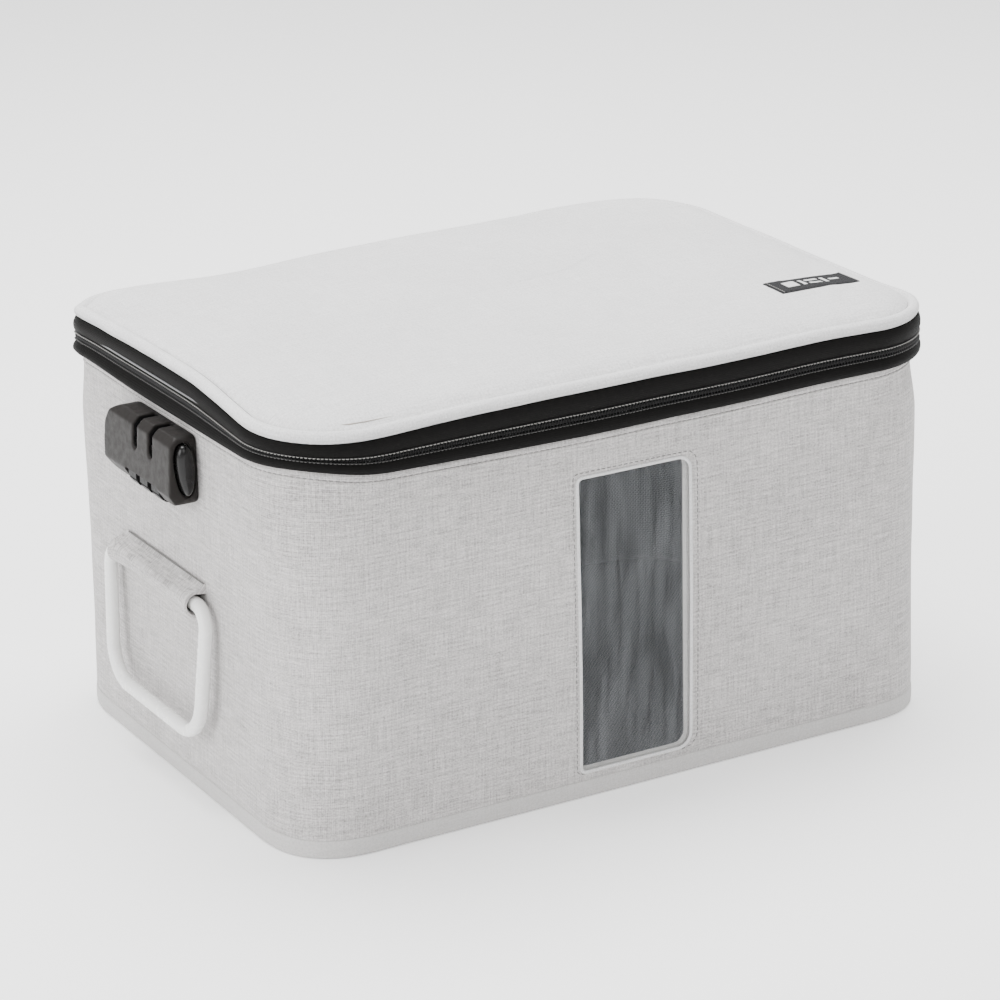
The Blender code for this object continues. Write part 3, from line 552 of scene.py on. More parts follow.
def sweep(name, points, section, look, body, closed=True, up=None, smooth=60.0):
    """A bar swept along a path: section is a list of (side, other) in mm."""
    verts, uvs, run = [], [], 0.0
    for i, (point, side, other) in enumerate(path_frames(points, closed, up)):
        if i:
            run += (points[i] - points[i - 1]).length
        shape = section(i / len(points)) if callable(section) else section
        for k, (a, b) in enumerate(shape):
            verts.append(tuple(point + side * a + other * b))
            uvs.append((run, k))
    columns = len(verts) // len(points)
    faces = grid_faces(len(points), columns, True) if closed else tube_faces(0, len(points), columns)
    return finish_mesh(name, verts, faces, look, body, uvs, smooth)


def ellipse(half_a, half_b, count=16, power=1.0):
    points = []
    for k in range(count):
        angle = math.tau * k / count
        a = math.copysign(abs(math.cos(angle)) ** power, math.cos(angle))
        b = math.copysign(abs(math.sin(angle)) ** power, math.sin(angle))
        points.append((half_a * a, half_b * b))
    return points


def stitches(name, marks, length, radius, look, body):
    """Separate thread stitches: each mark is (centre, along, outward); the ends dive into the cloth."""
    verts, faces, sides = [], [], 5
    rings = ((-0.5, -1.1), (-0.32, 0.1), (0.0, 0.35), (0.32, 0.1), (0.5, -1.1))
    for centre, along, outward in marks:
        side = along.cross(outward).normalized()
        start = len(verts)
        for reach, lift in rings:
            middle = centre + along * (reach * length) + outward * (lift * radius)
            for k in range(sides):
                angle = math.tau * k / sides
                verts.append(tuple(middle + side * (radius * math.cos(angle))
                                   + outward * (radius * math.sin(angle))))
        faces += tube_faces(start, len(rings), sides)
    return finish_mesh(name, verts, faces, look, body, smooth=80.0)


def loop_marks(loop, z, pitch, inset=0.0, start=0.0, end=None):
    """Stitch marks round a loop at one height, following the sewn shape."""
    end = loop.length if end is None else end
    count = int((end - start) / pitch)
    marks = []
    for i in range(count):
        s = start + (i + 0.5) * (end - start) / count
        x, y, out_x, out_y = loop.at(s)
        ahead = loop.at(s + 1.0)
        here = Vector(shaped(x, y, out_x, out_y, inset, z))
        there = Vector(shaped(*ahead, inset, z))
        marks.append((here, (there - here).normalized(), Vector((out_x, out_y, 0.0))))
    return marks


def apply_modifiers(target):
    """Keep the mesh as its modifiers show it."""
    depsgraph = bpy.context.evaluated_depsgraph_get()
    result = bpy.data.meshes.new_from_object(target.evaluated_get(depsgraph), depsgraph=depsgraph)
    target.modifiers.clear()
    old = target.data
    target.data = result
    bpy.data.meshes.remove(old)


def cut_with(target, cutter, operation="DIFFERENCE"):
    """Apply a Boolean and throw the tool away."""
    modifier = target.modifiers.new("cut", "BOOLEAN")
    modifier.object = cutter
    modifier.operation = operation
    modifier.solver = "EXACT"
    apply_modifiers(target)
    bpy.data.objects.remove(cutter)


def prism_object(name, outline, axis, low, high, look="dark"):
    """A plain prism in mm, for cutting or as a base shape."""
    verts = [(w, u, v) if axis == "X" else (u, w, v) for w in (low, high) for u, v in outline]
    count = len(outline)
    faces = [(i, (i + 1) % count, count + (i + 1) % count, count + i) for i in range(count)]
    faces += [tuple(reversed(range(count))), tuple(range(count, 2 * count))]
    return finish_mesh(name, verts, faces, look, None)


def arc_points(centre, radius, start, end, steps):
    angles = [math.radians(start + (end - start) * i / steps) for i in range(steps + 1)]
    return [(centre[0] + radius * math.cos(a), centre[1] + radius * math.sin(a)) for a in angles]


def rounded_outline(half_u, half_v, radius, centre):
    points = []
    for side_u, side_v, start in ((1, 1, 0), (-1, 1, 90), (-1, -1, 180), (1, -1, 270)):
        corner = (centre[0] + side_u * (half_u - radius), centre[1] + side_v * (half_v - radius))
        points += arc_points(corner, radius, start, start + 90, 8)
    return points


def bevelled(target, width_mm, segments=3, limit=30.0):
    modifier = target.modifiers.new("edge", "BEVEL")
    modifier.width = width_mm * MM
    modifier.segments = segments
    modifier.limit_method = "ANGLE"
    modifier.angle_limit = math.radians(limit)
    modifier.harden_normals = True
    return target


# ---------------------------------------------------------------- body


def cover_section():
    """Outer face with a folded hem at the top, then the inner face: (inset, z)."""
    low, top = COVER_LOW.z, WALL_TOP
    steps = 46
    outer = [(0.9, low), (0.2, low), (0.0, low + 0.3)]
    outer += [(0.0, low + 0.4 + (top - 6.6 - low) * i / steps) for i in range(1, steps)]
    hem = [(0.0, top - 6.0), (-0.10, top - 5.5), (-0.50, top - 5.0), (-0.45, top - 4.5), (0.05, top - 4.1),
           (-0.45, top - 3.7), (-0.60, top - 3.0), (-0.62, top - 1.6), (-0.55, top - 0.6), (-0.1, top - 0.1),
           (0.7, top)]
    inner = [(1.15, top - 0.4 - (top - 0.8 - low) * i / 8) for i in range(8)]
    return outer + hem + inner + [(1.15, low + 0.2)]


def window_shape(left=0.0, right=0.0, top=0.0, bottom=0.0, steps=7):
    """Outline of the window opening, widened on each side; its corners are tighter at the left."""
    half, low, high = WINDOW
    sides = ((half + right, high + top, -1, -1, WINDOW_R + 0.5, 0),
             (-half - left, high + top, 1, -1, 3.0, 90),
             (-half - left, low - bottom, 1, 1, 3.0, 180),
             (half + right, low - bottom, -1, 1, WINDOW_R + 1.5, 270))
    points = []
    for x, z, way_x, way_z, radius, start in sides:
        points += arc_points((x + way_x * radius, z + way_z * radius), radius, start, start + 90, steps)
    return points


def window_path(shape, y, spacing):
    """Evenly spaced points along an outline on the swollen front wall."""
    points = []
    for i, start in enumerate(shape):
        end = shape[(i + 1) % len(shape)]
        steps = max(1, int(math.dist(start, end) / spacing))
        points += [tuple(a + (b - a) * k / steps for a, b in zip(start, end)) for k in range(steps)]
    return [Vector((x, y - swell(x, -WALL_Y, 0.0, z), z)) for x, z in points]


def build_cover():
    cover = ring("body_cover_cloth", BODY, cover_section(), "grey", None)
    cut_with(cover, prism_object("tool_window", window_shape(), "Y", -WALL_Y - 10, -WALL_Y + 8))
    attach(cover, "box")
    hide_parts("body_cover")
    fold_path = window_path(window_shape(0.35, 0.35, 0.35, 0.35), -WALL_Y - 0.05, 2.0)
    sweep("window_folded_edge", fold_path, ellipse(0.9, 0.5, 14), "lid", "box", up=Vector((0, 1, 0)))
    seam = window_path(window_shape(2.7, 4.2, 2.7, 1.0, 3), -WALL_Y - 0.05, 0.5)
    marks = []
    for i in range(0, len(seam), 6):
        along = (seam[(i + 2) % len(seam)] - seam[i - 2]).normalized()
        marks.append((seam[i], along, Vector((0, -1, 0))))
    stitches("window_stitches", marks, 2.1, 0.24, "stitch_thread_painted_shade", "box")
    stitches("hem_stitches", loop_marks(BODY, WALL_TOP - 4.1, 3.0), 2.2, 0.24, "stitch_thread_painted_shade", "box")


def build_binding():
    low, high = BINDING_LOW.z, BINDING_HIGH.z
    section = [(0.7, low), (0.1, low + 0.2), (-0.2, low + 0.8), (-0.35, low + 2.2), (-0.4, low + 4.2),
               (-0.38, high - 1.6), (-0.3, high - 0.5), (-0.12, high + 0.12), (0.1, high + 0.32),
               (0.9, high + 0.3), (0.9, low + 0.4)]
    made = ring("bottom_binding_cloth", BODY, section, "binding", "box")
    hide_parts("bottom_binding")
    panel_low, panel_high = node_box("bottom_panel")
    panel = sheet_panel("bottom_panel_cloth", Loop(panel_high.x, panel_high.y, BODY_R - 1.2), panel_low.z,
                        panel_high.z, "binding", "box", follow=1.0)
    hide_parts("bottom_panel")


def sheet_panel(name, loop, low, high, look, body, follow=0.0):
    """A thin rounded panel with an even grid of rings; follow=1 lets its rim follow the sewn wall."""
    stations, rings = loop.stations(8.0), 14
    verts, uvs = [], []
    insets = [loop.half_y * 0.96 * i / rings for i in range(rings + 1)]
    levels = [(inset, low) for inset in reversed(insets)] + [(inset, high) for inset in insets]
    for inset, z in levels:
        eased = Loop(loop.half_x - inset, loop.half_y - inset, max(loop.radius - inset, 1.0))
        for s in stations:
            x, y, out_x, out_y = eased.at(s / loop.length * eased.length)
            push = follow * swell(x, y, out_x, z) * math.exp(-inset / 30.0)
            verts.append((x + out_x * push, y + out_y * push, z))
            uvs.append((x, y))
    count = len(stations)
    faces = grid_faces(len(levels), count)
    faces += [tuple(range(count)), tuple(reversed(range(len(verts) - count, len(verts))))]
    return finish_mesh(name, verts, faces, look, body, uvs, 50.0)


def build_linings():
    low, top = LINING_LOW.z, LINING_HIGH.z
    outer, inner = WALL_X - LINING_HIGH.x, WALL_X - LINING_HIGH.x + 0.8
    levels = [low + (top - low) * i / 24 for i in range(25)]
    section = [(outer, z) for z in levels] + [(inner, z) for z in reversed(levels)]
    verts, uvs = [], []
    stations = BODY.stations(5.0)
    for s in stations:
        x, y, out_x, out_y = BODY.at(s)
        for inset, z in section:
            soft = 0.35 * soft_noise(x, y, z, 30.0) if inset > outer else 0.0
            verts.append((x - out_x * (inset + soft), y - out_y * (inset + soft), z))
            uvs.append((s, z))
    faces = grid_faces(len(stations), len(section), close_rows=True)
    lining = finish_mesh("wall_lining_cloth", verts, faces, "lining", None, uvs, 50.0)
    half, w_low, w_high = WINDOW
    outline = rounded_outline(half, (w_high - w_low) / 2, WINDOW_R, (0.0, (w_low + w_high) / 2))
    cut_with(lining, prism_object("tool_lining", outline, "Y", -WALL_Y - 2, -WALL_Y + 15))
    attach(lining, "box")
    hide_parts("body_lining")
    for node, body, radius in (("bottom_lining", "box", BODY_R - 6.9), ("lid_lining", "lid", BAND_R - 1.5)):
        n_low, n_high = node_box(node)
        made = sheet_panel(f"{node}_cloth", Loop(n_high.x, n_high.y, radius), n_low.z, n_high.z, "lining",
                           body)
        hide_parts(node)


def build_window():
    """The clear sheet, which follows the wall's swell."""
    def point(layer, x, z, _):
        return x, (PANE_LOW.y, PANE_HIGH.y)[layer] - swell(x, -WALL_Y, 0.0, z), z

    pane = thin_sheet("window_pane_sheet", (-PANE_HIGH.x, PANE_HIGH.x), (PANE_LOW.z, PANE_HIGH.z), 26, 52,
                      point, "pane", "box")
    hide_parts("window_pane")


# ---------------------------------------------------------------- zip band


def build_tapes():
    low, high = TAPE_LOW.z, TAPE_HIGH.z
    lower = [(-0.2, low + 0.1), (-0.75, low + 0.9), (-1.0, low + 2.0), (-0.95, low + 3.2), (-0.45, low + 4.3),
             (0.1, high - 0.3), (0.5, high), (1.0, high - 0.2), (1.2, high - 1.5), (1.25, low + 1.5),
             (3.0, low + 1.2), (10.4, low + 1.2), (10.5, low + 0.6), (10.2, low + 0.05), (4.0, low),
             (0.8, low)]
    made = ring("lower_tape_cloth", BAND, lower, "tape", "box")
    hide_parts("lower_zip_tape")
    low, high = UPPER_LOW.z, UPPER_HIGH.z
    upper = [(0.5, low), (0.1, low + 0.3), (-0.35, low + 1.4), (-0.7, low + 3.0), (-0.75, low + 4.8),
             (-0.5, low + 6.2), (-0.05, low + 7.2), (0.5, high - 0.25), (1.2, high), (4.0, high),
             (10.2, high), (10.5, high - 0.6), (10.4, high - 1.2), (3.0, high - 1.2), (1.3, high - 1.6),
             (1.2, low + 1.5), (1.0, low + 0.2)]
    made = ring("upper_tape_cloth", BAND, upper, "tape", "lid")
    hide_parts("upper_zip_tape")


def coil_range():
    """Distances along the band where the zip starts and ends, on the rear side."""
    return COIL_END_X, BAND.length - COIL_END_X


def teeth(name, heights, pitch, shift, body, node):
    """One row of moulded teeth with a head towards the other row, on a cord along the tape's edge."""
    start, end = coil_range()
    count = int((end - start) / pitch)
    foot, tip = heights
    profile = ((0.0, 0.34, 0.30), (0.25, 0.42, 0.42), (0.55, 0.40, 0.40), (0.80, 0.52, 0.46),
               (0.95, 0.44, 0.40), (1.0, 0.20, 0.20))
    verts, faces, sides = [], [], 6
    for i in range(count):
        s = start + (i + shift) * pitch
        x, y, out_x, out_y = BAND.at(s)
        along, outward = Vector((out_y, -out_x, 0.0)), Vector((out_x, out_y, 0.0))
        base = len(verts)
        for share, wide, deep in profile:
            z = foot + (tip - foot) * share
            middle = Vector(shaped(x, y, out_x, out_y, 0.75, z))
            for k in range(sides):
                angle = math.tau * (k + 0.5) / sides
                verts.append(tuple(middle + along * (wide * math.cos(angle))
                                   + outward * (1.9 * deep * math.sin(angle))))
        faces += tube_faces(base, len(profile), sides)
    made = finish_mesh(name, verts, faces, "coil", body, smooth=70.0)
    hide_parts(node)


def cord_along_zip(name, z, inset, radius, body):
    start, end = coil_range()
    count = int((end - start) / 2.6)
    points = []
    for i in range(count + 1):
        x, y, out_x, out_y = BAND.at(start + (end - start) * i / count)
        points.append(Vector(shaped(x, y, out_x, out_y, inset, z)))
    return sweep(name, points, ellipse(radius, radius * 0.8, 8), "coil", body, closed=False)


def build_zip():
    pitch, overlap = 1.7, 0.75
    teeth("lower_zip_teeth", (COIL_LOW.z - 0.1, ZIP_Z + overlap), pitch, 0.0, "box", "lower_zip_coil")
    teeth("upper_zip_teeth", (UPPER_COIL_HIGH.z + 0.1, ZIP_Z - overlap), pitch, 0.5, "lid", "upper_zip_coil")
    cord_along_zip("lower_zip_cord", COIL_LOW.z + 0.1, 0.55, 0.5, "box")
    cord_along_zip("upper_zip_cord", UPPER_COIL_HIGH.z - 0.1, 0.55, 0.5, "lid")
    start, end = coil_range()
    for side, name, body, look, size in ((-1, "lower", "box", "dim_thread", 0.2),
                                         (1, "upper", "lid", "zip_thread", 0.24)):
        marks = loop_marks(BAND, ZIP_Z + side * 1.85, 1.9, -0.35, start, end)
        stitches(f"{name}_zip_stitches", marks, 1.25, size, look, body)


def build_hinge_strip():
    """Black cloth strip inside the rear of the mouth."""
    far = STRIP_HIGH.y

    def point(layer, x, z, _):
        return x, (far, STRIP_LOW.y - 0.1)[layer], z + droop(x, BAND_Y, z)

    strip = thin_sheet("hinge_strip_cloth", (-STRIP_HIGH.x, STRIP_HIGH.x), (STRIP_LOW.z, UPPER_LOW.z + 5.6),
                       90, 26, point, "tape", None)
    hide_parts("hinge_strip")
    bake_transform(strip)


# ---------------------------------------------------------------- lid


def build_piping():
    """Rolled fabric edge with small puckers where it turns the corners."""
    middle_inset = (BAND_X - PIPING_HIGH.x) + 2.7
    middle_z = PIPING_LOW.z + 1.9

    def section(s):
        x, y, out_x, out_y = BAND.at(s)
        turning = 4.0 * (out_x * out_y) ** 2
        pucker = 0.10 * turning * math.sin(s * 2.1) + 0.30 * soft_noise(x, y, 40.0, 26.0)
        half_w, half_h = 3.1 + pucker, 3.2 + 0.5 * pucker
        points = []
        for k in range(18):
            angle = math.tau * k / 18
            sag = 0.35 * math.sin(angle * 2) * (1 if math.sin(angle) < 0 else 0.4)
            points.append((middle_inset - (half_w + sag) * math.cos(angle),
                           middle_z + half_h * math.sin(angle)))
        return points

    made = ring("lid_piping_cloth", BAND, section, "lid", "lid", step=1.8)
    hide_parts("lid_piping")
    groove = []
    for s in BAND.stations(2.6):
        x, y, out_x, out_y = BAND.at(s)
        groove.append(Vector(shaped(x, y, out_x, out_y, middle_inset + 2.9, middle_z + 1.0)))
    # A dark tube laid in the groove beside the piping: painted shade along the seam.
    sweep("lid_groove_painted_shade", groove, ellipse(0.6, 0.6, 8), "groove", "lid")


def top_height(inset, x, y):
    """Height of the padded lid top, inset mm in from its seam."""
    seam, crown = PIPING_LOW.z + 2.4, TOP_HIGH.z - 0.9
    roll = 1 - math.exp(-inset / 4.6)
    puff = 1 - math.exp(-inset / 38.0)
    soft = 0.55 * soft_noise(x, y, 60.0, 62.0) + 0.20 * soft_noise(x, y, 70.0, 21.0)
    return seam + (crown - seam) * (0.56 * roll + 0.44 * puff) + soft * roll


CLOTH_LOOSER, CLOTH_PRESSURE, CLOTH_LIMIT, CLOTH_FRAMES = 0.012, 1.2, 0.4, 22


def settle_cloth(verts, faces, held):
    """Let a slightly oversize cloth relax under soft filling, pinned at its held points.

    No point moves more than CLOTH_LIMIT mm.
    """
    mesh = bpy.data.meshes.new("cloth_test")
    mesh.from_pydata([tuple(c * MM for c in v) for v in verts], [], faces)
    cloth_object = new_object("cloth_test", mesh)
    group = cloth_object.vertex_groups.new(name="held")
    group.add(held, 1.0, "REPLACE")
    cloth = cloth_object.modifiers.new("cloth", "CLOTH")
    settings = cloth.settings
    settings.quality = 5
    settings.mass = 0.25
    settings.tension_stiffness = settings.compression_stiffness = 12.0
    settings.shear_stiffness = 8.0
    settings.bending_stiffness = 1.5
    settings.shrink_min = -CLOTH_LOOSER
    settings.vertex_group_mass = "held"
    settings.use_pressure = True
    settings.uniform_pressure_force = CLOTH_PRESSURE
    settings.effector_weights.gravity = 0.0
    cloth.point_cache.frame_start, cloth.point_cache.frame_end = 1, CLOTH_FRAMES
    for number in range(1, CLOTH_FRAMES + 1):
        bpy.context.scene.frame_set(number)
    depsgraph = bpy.context.evaluated_depsgraph_get()
    settled = [vertex.co / MM for vertex in cloth_object.evaluated_get(depsgraph).data.vertices]
    bpy.data.objects.remove(cloth_object)
    bpy.context.scene.frame_set(1)
    result = []
    for before, after in zip(verts, settled):
        move = after - Vector(before)
        size = move.length
        soft = CLOTH_LIMIT * math.tanh(size / CLOTH_LIMIT) / size if size > 1e-6 else 0.0
        result.append(tuple(Vector(before) + move * soft))
    return result


def build_lid_top():
    """Fabric top over thin padding, tucked down into the seam beside the piping."""
    seam_inset = BAND_X - PIPING_HIGH.x + 4.9
    rim = Loop(BAND_X - seam_inset, BAND_Y - seam_inset, BAND_R - seam_inset)
    insets = [0.0, 0.5, 1.1, 1.9, 2.9, 4.2, 5.8, 7.8, 10.5] + [14.0 + 4.2 * i for i in range(27)]
    stations = rim.stations(3.4)
    verts, uvs = [], []
    for inset in insets:
        inner = Loop(rim.half_x - inset, rim.half_y - inset, max(rim.radius - inset, 1.5))
        for s in stations:
            x, y, _, _ = inner.at(s / rim.length * inner.length)
            fade = math.exp(-inset / 40.0)
            verts.append((x + pinch(x, y, PIPING_HIGH.z) * fade, y,
                          top_height(inset, x, y) + droop(x, y, PIPING_HIGH.z) * fade))
            uvs.append((x, y))
    count = len(stations)
    faces = grid_faces(len(insets), count)
    last = len(verts) - count
    faces.append(tuple(last + k for k in range(count)))
    verts = settle_cloth(verts, faces[:-1], list(range(2 * count)))
    floor = len(verts)
    for k in range(count):
        x, y, _ = verts[k]
        verts.append((x, y, PIPING_LOW.z + 0.6))
        uvs.append((x, y))
        faces.append((k, floor + k, floor + (k + 1) % count, (k + 1) % count))
    faces.append(tuple(floor + k for k in reversed(range(count))))
    top = finish_mesh("lid_top_cloth", verts, faces, "lid", "lid", uvs, 70.0)
    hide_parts("lid_top_panel")
    return [Vector(v) for v in verts[:floor]]


def build_label(top_points):
    """Black woven label sewn on the lid, with a plain geometric mark in place of any name."""
    centre_x, centre_y = (LABEL_LOW.x + LABEL_HIGH.x) / 2, (LABEL_LOW.y + LABEL_HIGH.y) / 2
    half_x, half_y = (LABEL_HIGH.x - LABEL_LOW.x) / 2, (LABEL_HIGH.y - LABEL_LOW.y) / 2
    near = [p for p in top_points if abs(p.x - centre_x) < half_x + 12 and abs(p.y - centre_y) < half_y + 12]

    def drape(x, y, lift):
        weights = [(1.0 / ((p.x - x) ** 2 + (p.y - y) ** 2 + 1.5) ** 2, p.z) for p in near]
        return sum(w * z for w, z in weights) / sum(w for w, _ in weights) + lift

    def patch(name, u0, u1, v0, v1, lift, thick, look):
        def point(layer, x, y, at_edge):
            rise = 0.0 if layer else thick * (0.55 if at_edge else 1.0)
            return x, y, drape(x, y, lift + rise)

        columns, rows = max(2, int((u1 - u0) / 1.2)), max(2, int((v1 - v0) / 1.2))
        return thin_sheet(name, (centre_x + u0, centre_x + u1), (centre_y + v0, centre_y + v1), columns, rows,
                          point, look, "lid", 60.0)

    label = patch("label_cloth", -half_x, half_x, -half_y, half_y, -0.1, 0.85, "label")
    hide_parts("lid_label")
    bars = ((-16.0, -9.0, -3.6, 3.6), (-6.5, -4.5, -3.6, 3.6), (-2.5, 4.5, 1.4, 3.6), (-2.5, 4.5, -3.6, -1.4),
            (6.5, 8.5, -3.6, 3.6), (10.5, 16.0, -1.1, 1.1))
    for number, (u0, u1, v0, v1) in enumerate(bars, start=1):
        patch(f"label_mark_{number}", u0, u1, v0, v1, 0.72, 0.22, "mark")
    marks = []
    for side in (-1, 1):
        for i in range(int(2 * half_y / 1.6)):
            x, y = centre_x + side * (half_x - 1.1), centre_y - half_y + 0.9 + i * 1.6
            marks.append((Vector((x, y, drape(x, y, 0.85))), Vector((0, 1, 0)), Vector((0, 0, 1))))
    stitches("label_stitches", marks, 1.1, 0.16, "zip_thread", "lid")


# ---------------------------------------------------------------- handles

HANDLE_TOP_HALF, HANDLE_LOW_HALF, HANDLE_DROP = 56.0, 50.0, 67.5
HANDLE_RADII = (10.0, 20.0, 20.0, 10.0)
HANDLE_HALF_W, HANDLE_HALF_T, HANDLE_TILT = 3.4, 3.2, 4.0
PARTING_RIDGE = 1.018


def joint_place(name):
    """Where a joint's axis passes, in mm."""
    return Vector(next(joint for joint in frame["joints"] if joint["name"] == name)["pos_m"]) / MM


def corner_points(before, corner, after, radius, steps):
    to_before, to_after = (before - corner).normalized(), (after - corner).normalized()
    half_angle = to_before.angle(to_after) / 2
    centre = corner + (to_before + to_after).normalized() * radius / math.sin(half_angle)
    start = corner + to_before * radius / math.tan(half_angle)
    end = corner + to_after * radius / math.tan(half_angle)
    sweep_angle = (start - centre).angle(end - centre)
    points = []
    for i in range(steps + 1):
        a = math.sin(sweep_angle * (1 - i / steps)) / math.sin(sweep_angle)
        b = math.sin(sweep_angle * i / steps) / math.sin(sweep_angle)
        points.append(centre + (start - centre) * a + (end - centre) * b)
    return points


def handle_points(side, pivot):
    corners = [Vector((-HANDLE_TOP_HALF, 0.0)), Vector((-HANDLE_LOW_HALF, -HANDLE_DROP)),
               Vector((HANDLE_LOW_HALF, -HANDLE_DROP)), Vector((HANDLE_TOP_HALF, 0.0))]
    flat = []
    for i, corner in enumerate(corners):
        flat += corner_points(corners[i - 1], corner, corners[(i + 1) % 4], HANDLE_RADII[i], 16)
    dense = []
    for i, start in enumerate(flat):
        end = flat[(i + 1) % len(flat)]
        steps = max(1, int((end - start).length / 4.0))
        dense += [start + (end - start) * k / steps for k in range(steps)]
    tilt = Matrix.Rotation(math.radians(-side * HANDLE_TILT), 3, "Y")
    path = [pivot + tilt @ Vector((0.0, point.x, point.y)) for point in dense]
    return path, tilt @ Vector((side, 0.0, 0.0))


def build_handle(name, side):
    pivot = joint_place(f"{name}_handle_swing")
    points, outward = handle_points(side, pivot)
    section = ellipse(HANDLE_HALF_W, HANDLE_HALF_T, 24, 0.8)
    for k in (0, 12):
        section[k] = (section[k][0] * PARTING_RIDGE, section[k][1])
    ring_piece = sweep(f"{name}_handle_ring", points, section, "handle", f"{name}_handle", up=outward,
                       smooth=50.0)
    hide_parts(f"{name}_handle")
    build_sleeve(name, side, pivot)


INNER_R, CLOTH_T, BAR_P = 4.45, 1.0, 5.4
END_FLARE, FLARE_SHARPNESS = 0.20, 26


def build_sleeve(name, side, pivot):
    """Fabric sleeve sewn over the bar, with tucked ends and stitched upper and lower edges."""
    low, high = node_box(f"{name}_handle_sleeve")
    half = (high.y - low.y) / 2
    middle = (high.y + low.y) / 2
    seam = (high.z - low.z) / 2 - 0.1
    bar = (BAR_P, 0.0)
    rows, verts, uvs = 54, [], []
    for i in range(rows + 1):
        share = i / rows
        y = middle - half + 2 * half * share
        edge = min(share, 1 - share)
        flare = 1.0 + END_FLARE * math.exp(-edge * FLARE_SHARPNESS)
        ripple = 0.16 * soft_noise(y, 0.0, 0.0, 9.0)
        outer_r, hollow_r = (INNER_R + CLOTH_T) * flare + ripple, INNER_R * flare + ripple
        outline = [(0.1, seam - 0.5), (0.7, seam), (1.3, seam - 0.4), (2.4, seam - 1.5)]
        outline += arc_points(bar, outer_r, 68, -76, 12)
        outline += [(2.2, -INNER_R - 2.0), (1.3, -INNER_R - 2.9), (1.0, -seam + 1.2), (0.7, -seam),
                    (0.1, -seam + 0.5), (0.1, -INNER_R)]
        outline += arc_points(bar, hollow_r, -86, 86, 12)
        outline.append((0.1, INNER_R))
        for p, z in outline:
            verts.append((side * (WALL_X + p), y, pivot.z + z))
            uvs.append((y, z + p))
    columns = len(verts) // (rows + 1)
    sleeve = finish_mesh(f"{name}_sleeve_cloth", verts, tube_faces(0, rows + 1, columns), "grey", "box", uvs,
                         60.0)
    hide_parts(f"{name}_handle_sleeve")
    marks = []
    for i in range(int(2 * (half - 1.5) / 2.8)):
        y = middle - half + 2.6 + i * 2.8
        marks.append((Vector((side * (WALL_X + 1.3), y, pivot.z - seam + 2.0)), Vector((0, 1, 0)),
                      Vector((side, 0, 0))))
    stitches(f"{name}_sleeve_stitches", marks, 2.0, 0.2, "stitch_thread_painted_shade", "box")
    line = [Vector((side * (WALL_X + 1.1), middle - half + 1.0 + i * 2.0, pivot.z + seam))
            for i in range(int(half))]
    sweep(f"{name}_sleeve_seam", line, ellipse(0.34, 0.34, 8), "seam", "box", closed=False)


# ---------------------------------------------------------------- lock


LOCK_TOP_OUT, LOCK_BOTTOM_OUT = 14.2, 15.6
SLOT_YS, SLOT_HALF, SLOT_DEPTH = (-12.5, 5.0), 2.4, 15.2
HOUSING_T = 2.0
DIAL_R, DIAL_RIBS, DIAL_ROOM_R = 6.4, 10, 6.9


def lock_outline(inset):
    """The housing seen from the side, as (y, z)."""
    low, high = LOCK_LOW.z + inset, LOCK_HIGH.z - inset
    front, rear = LOCK_LOW.y + inset, LOCK_HIGH.y - inset
    big, small = 16.0 - inset, 8.0 - inset
    outline = arc_points((rear - small, low + small), small, -90, 0, 14)
    outline += arc_points((rear - big, high - big), big, 0, 90, 22)
    outline += arc_points((front + 3.5, high - 3.5), 3.5 - inset, 90, 180, 6)
    return outline + arc_points((front + 5.0, low + 5.0), 5.0 - inset, 180, 270, 8)


def lock_profile(inset):
    """The housing seen from its end, as (x, z)."""
    low, high = LOCK_LOW.z + inset, LOCK_HIGH.z - inset
    top, bottom = LOCK_TOP_OUT - inset, LOCK_BOTTOM_OUT - inset
    back = 0.3 if inset == 0 else -1.0
    shape = [(back, low), (bottom - 4.0, low), (bottom, low + 6.0), (top, high - 3.5), (top - 3.6, high),
             (back, high)]
    return [(-(WALL_X + p), z) for p, z in shape]


def lock_body(name, inset):
    body = prism_object(name, lock_outline(inset), "X", -(WALL_X + 40), -(WALL_X - 40), "lock")
    span = LOCK_LOW.y - 30, LOCK_HIGH.y + 30
    cut_with(body, prism_object("tool_profile", lock_profile(inset), "Y", *span, "lock"), "INTERSECT")
    return body


def soften(body, cell_mm, passes):
    """Round every edge of a solid the way a moulding is rounded."""
    cells = body.modifiers.new("cells", "REMESH")
    cells.mode = "VOXEL"
    cells.voxel_size = cell_mm * MM
    smooth = body.modifiers.new("smooth", "SMOOTH")
    smooth.factor = 0.5
    smooth.iterations = passes
    apply_modifiers(body)


BUTTON_STEPS, BUTTON_DOME, BUTTON_SHOULDER = 48, 4.2, 0.8


def button_shape(margin):
    """Egg-shaped outline of the release button, widened by margin, as (x, z)."""
    low, high = node_box("lock_button")
    centre_x, centre_z = (low.x + high.x) / 2, (low.z + high.z) / 2
    half_x, half_z = (high.x - low.x) / 2 + margin, (high.z - low.z) / 2 + margin
    taper = 0.13
    points = []
    for a, b in ellipse(half_x, half_z, BUTTON_STEPS, 0.85):
        down = 1.0 - b / half_z
        points.append((centre_x + a * (1.0 - taper * down) + 0.8 * taper * half_x * down, centre_z + b))
    return points


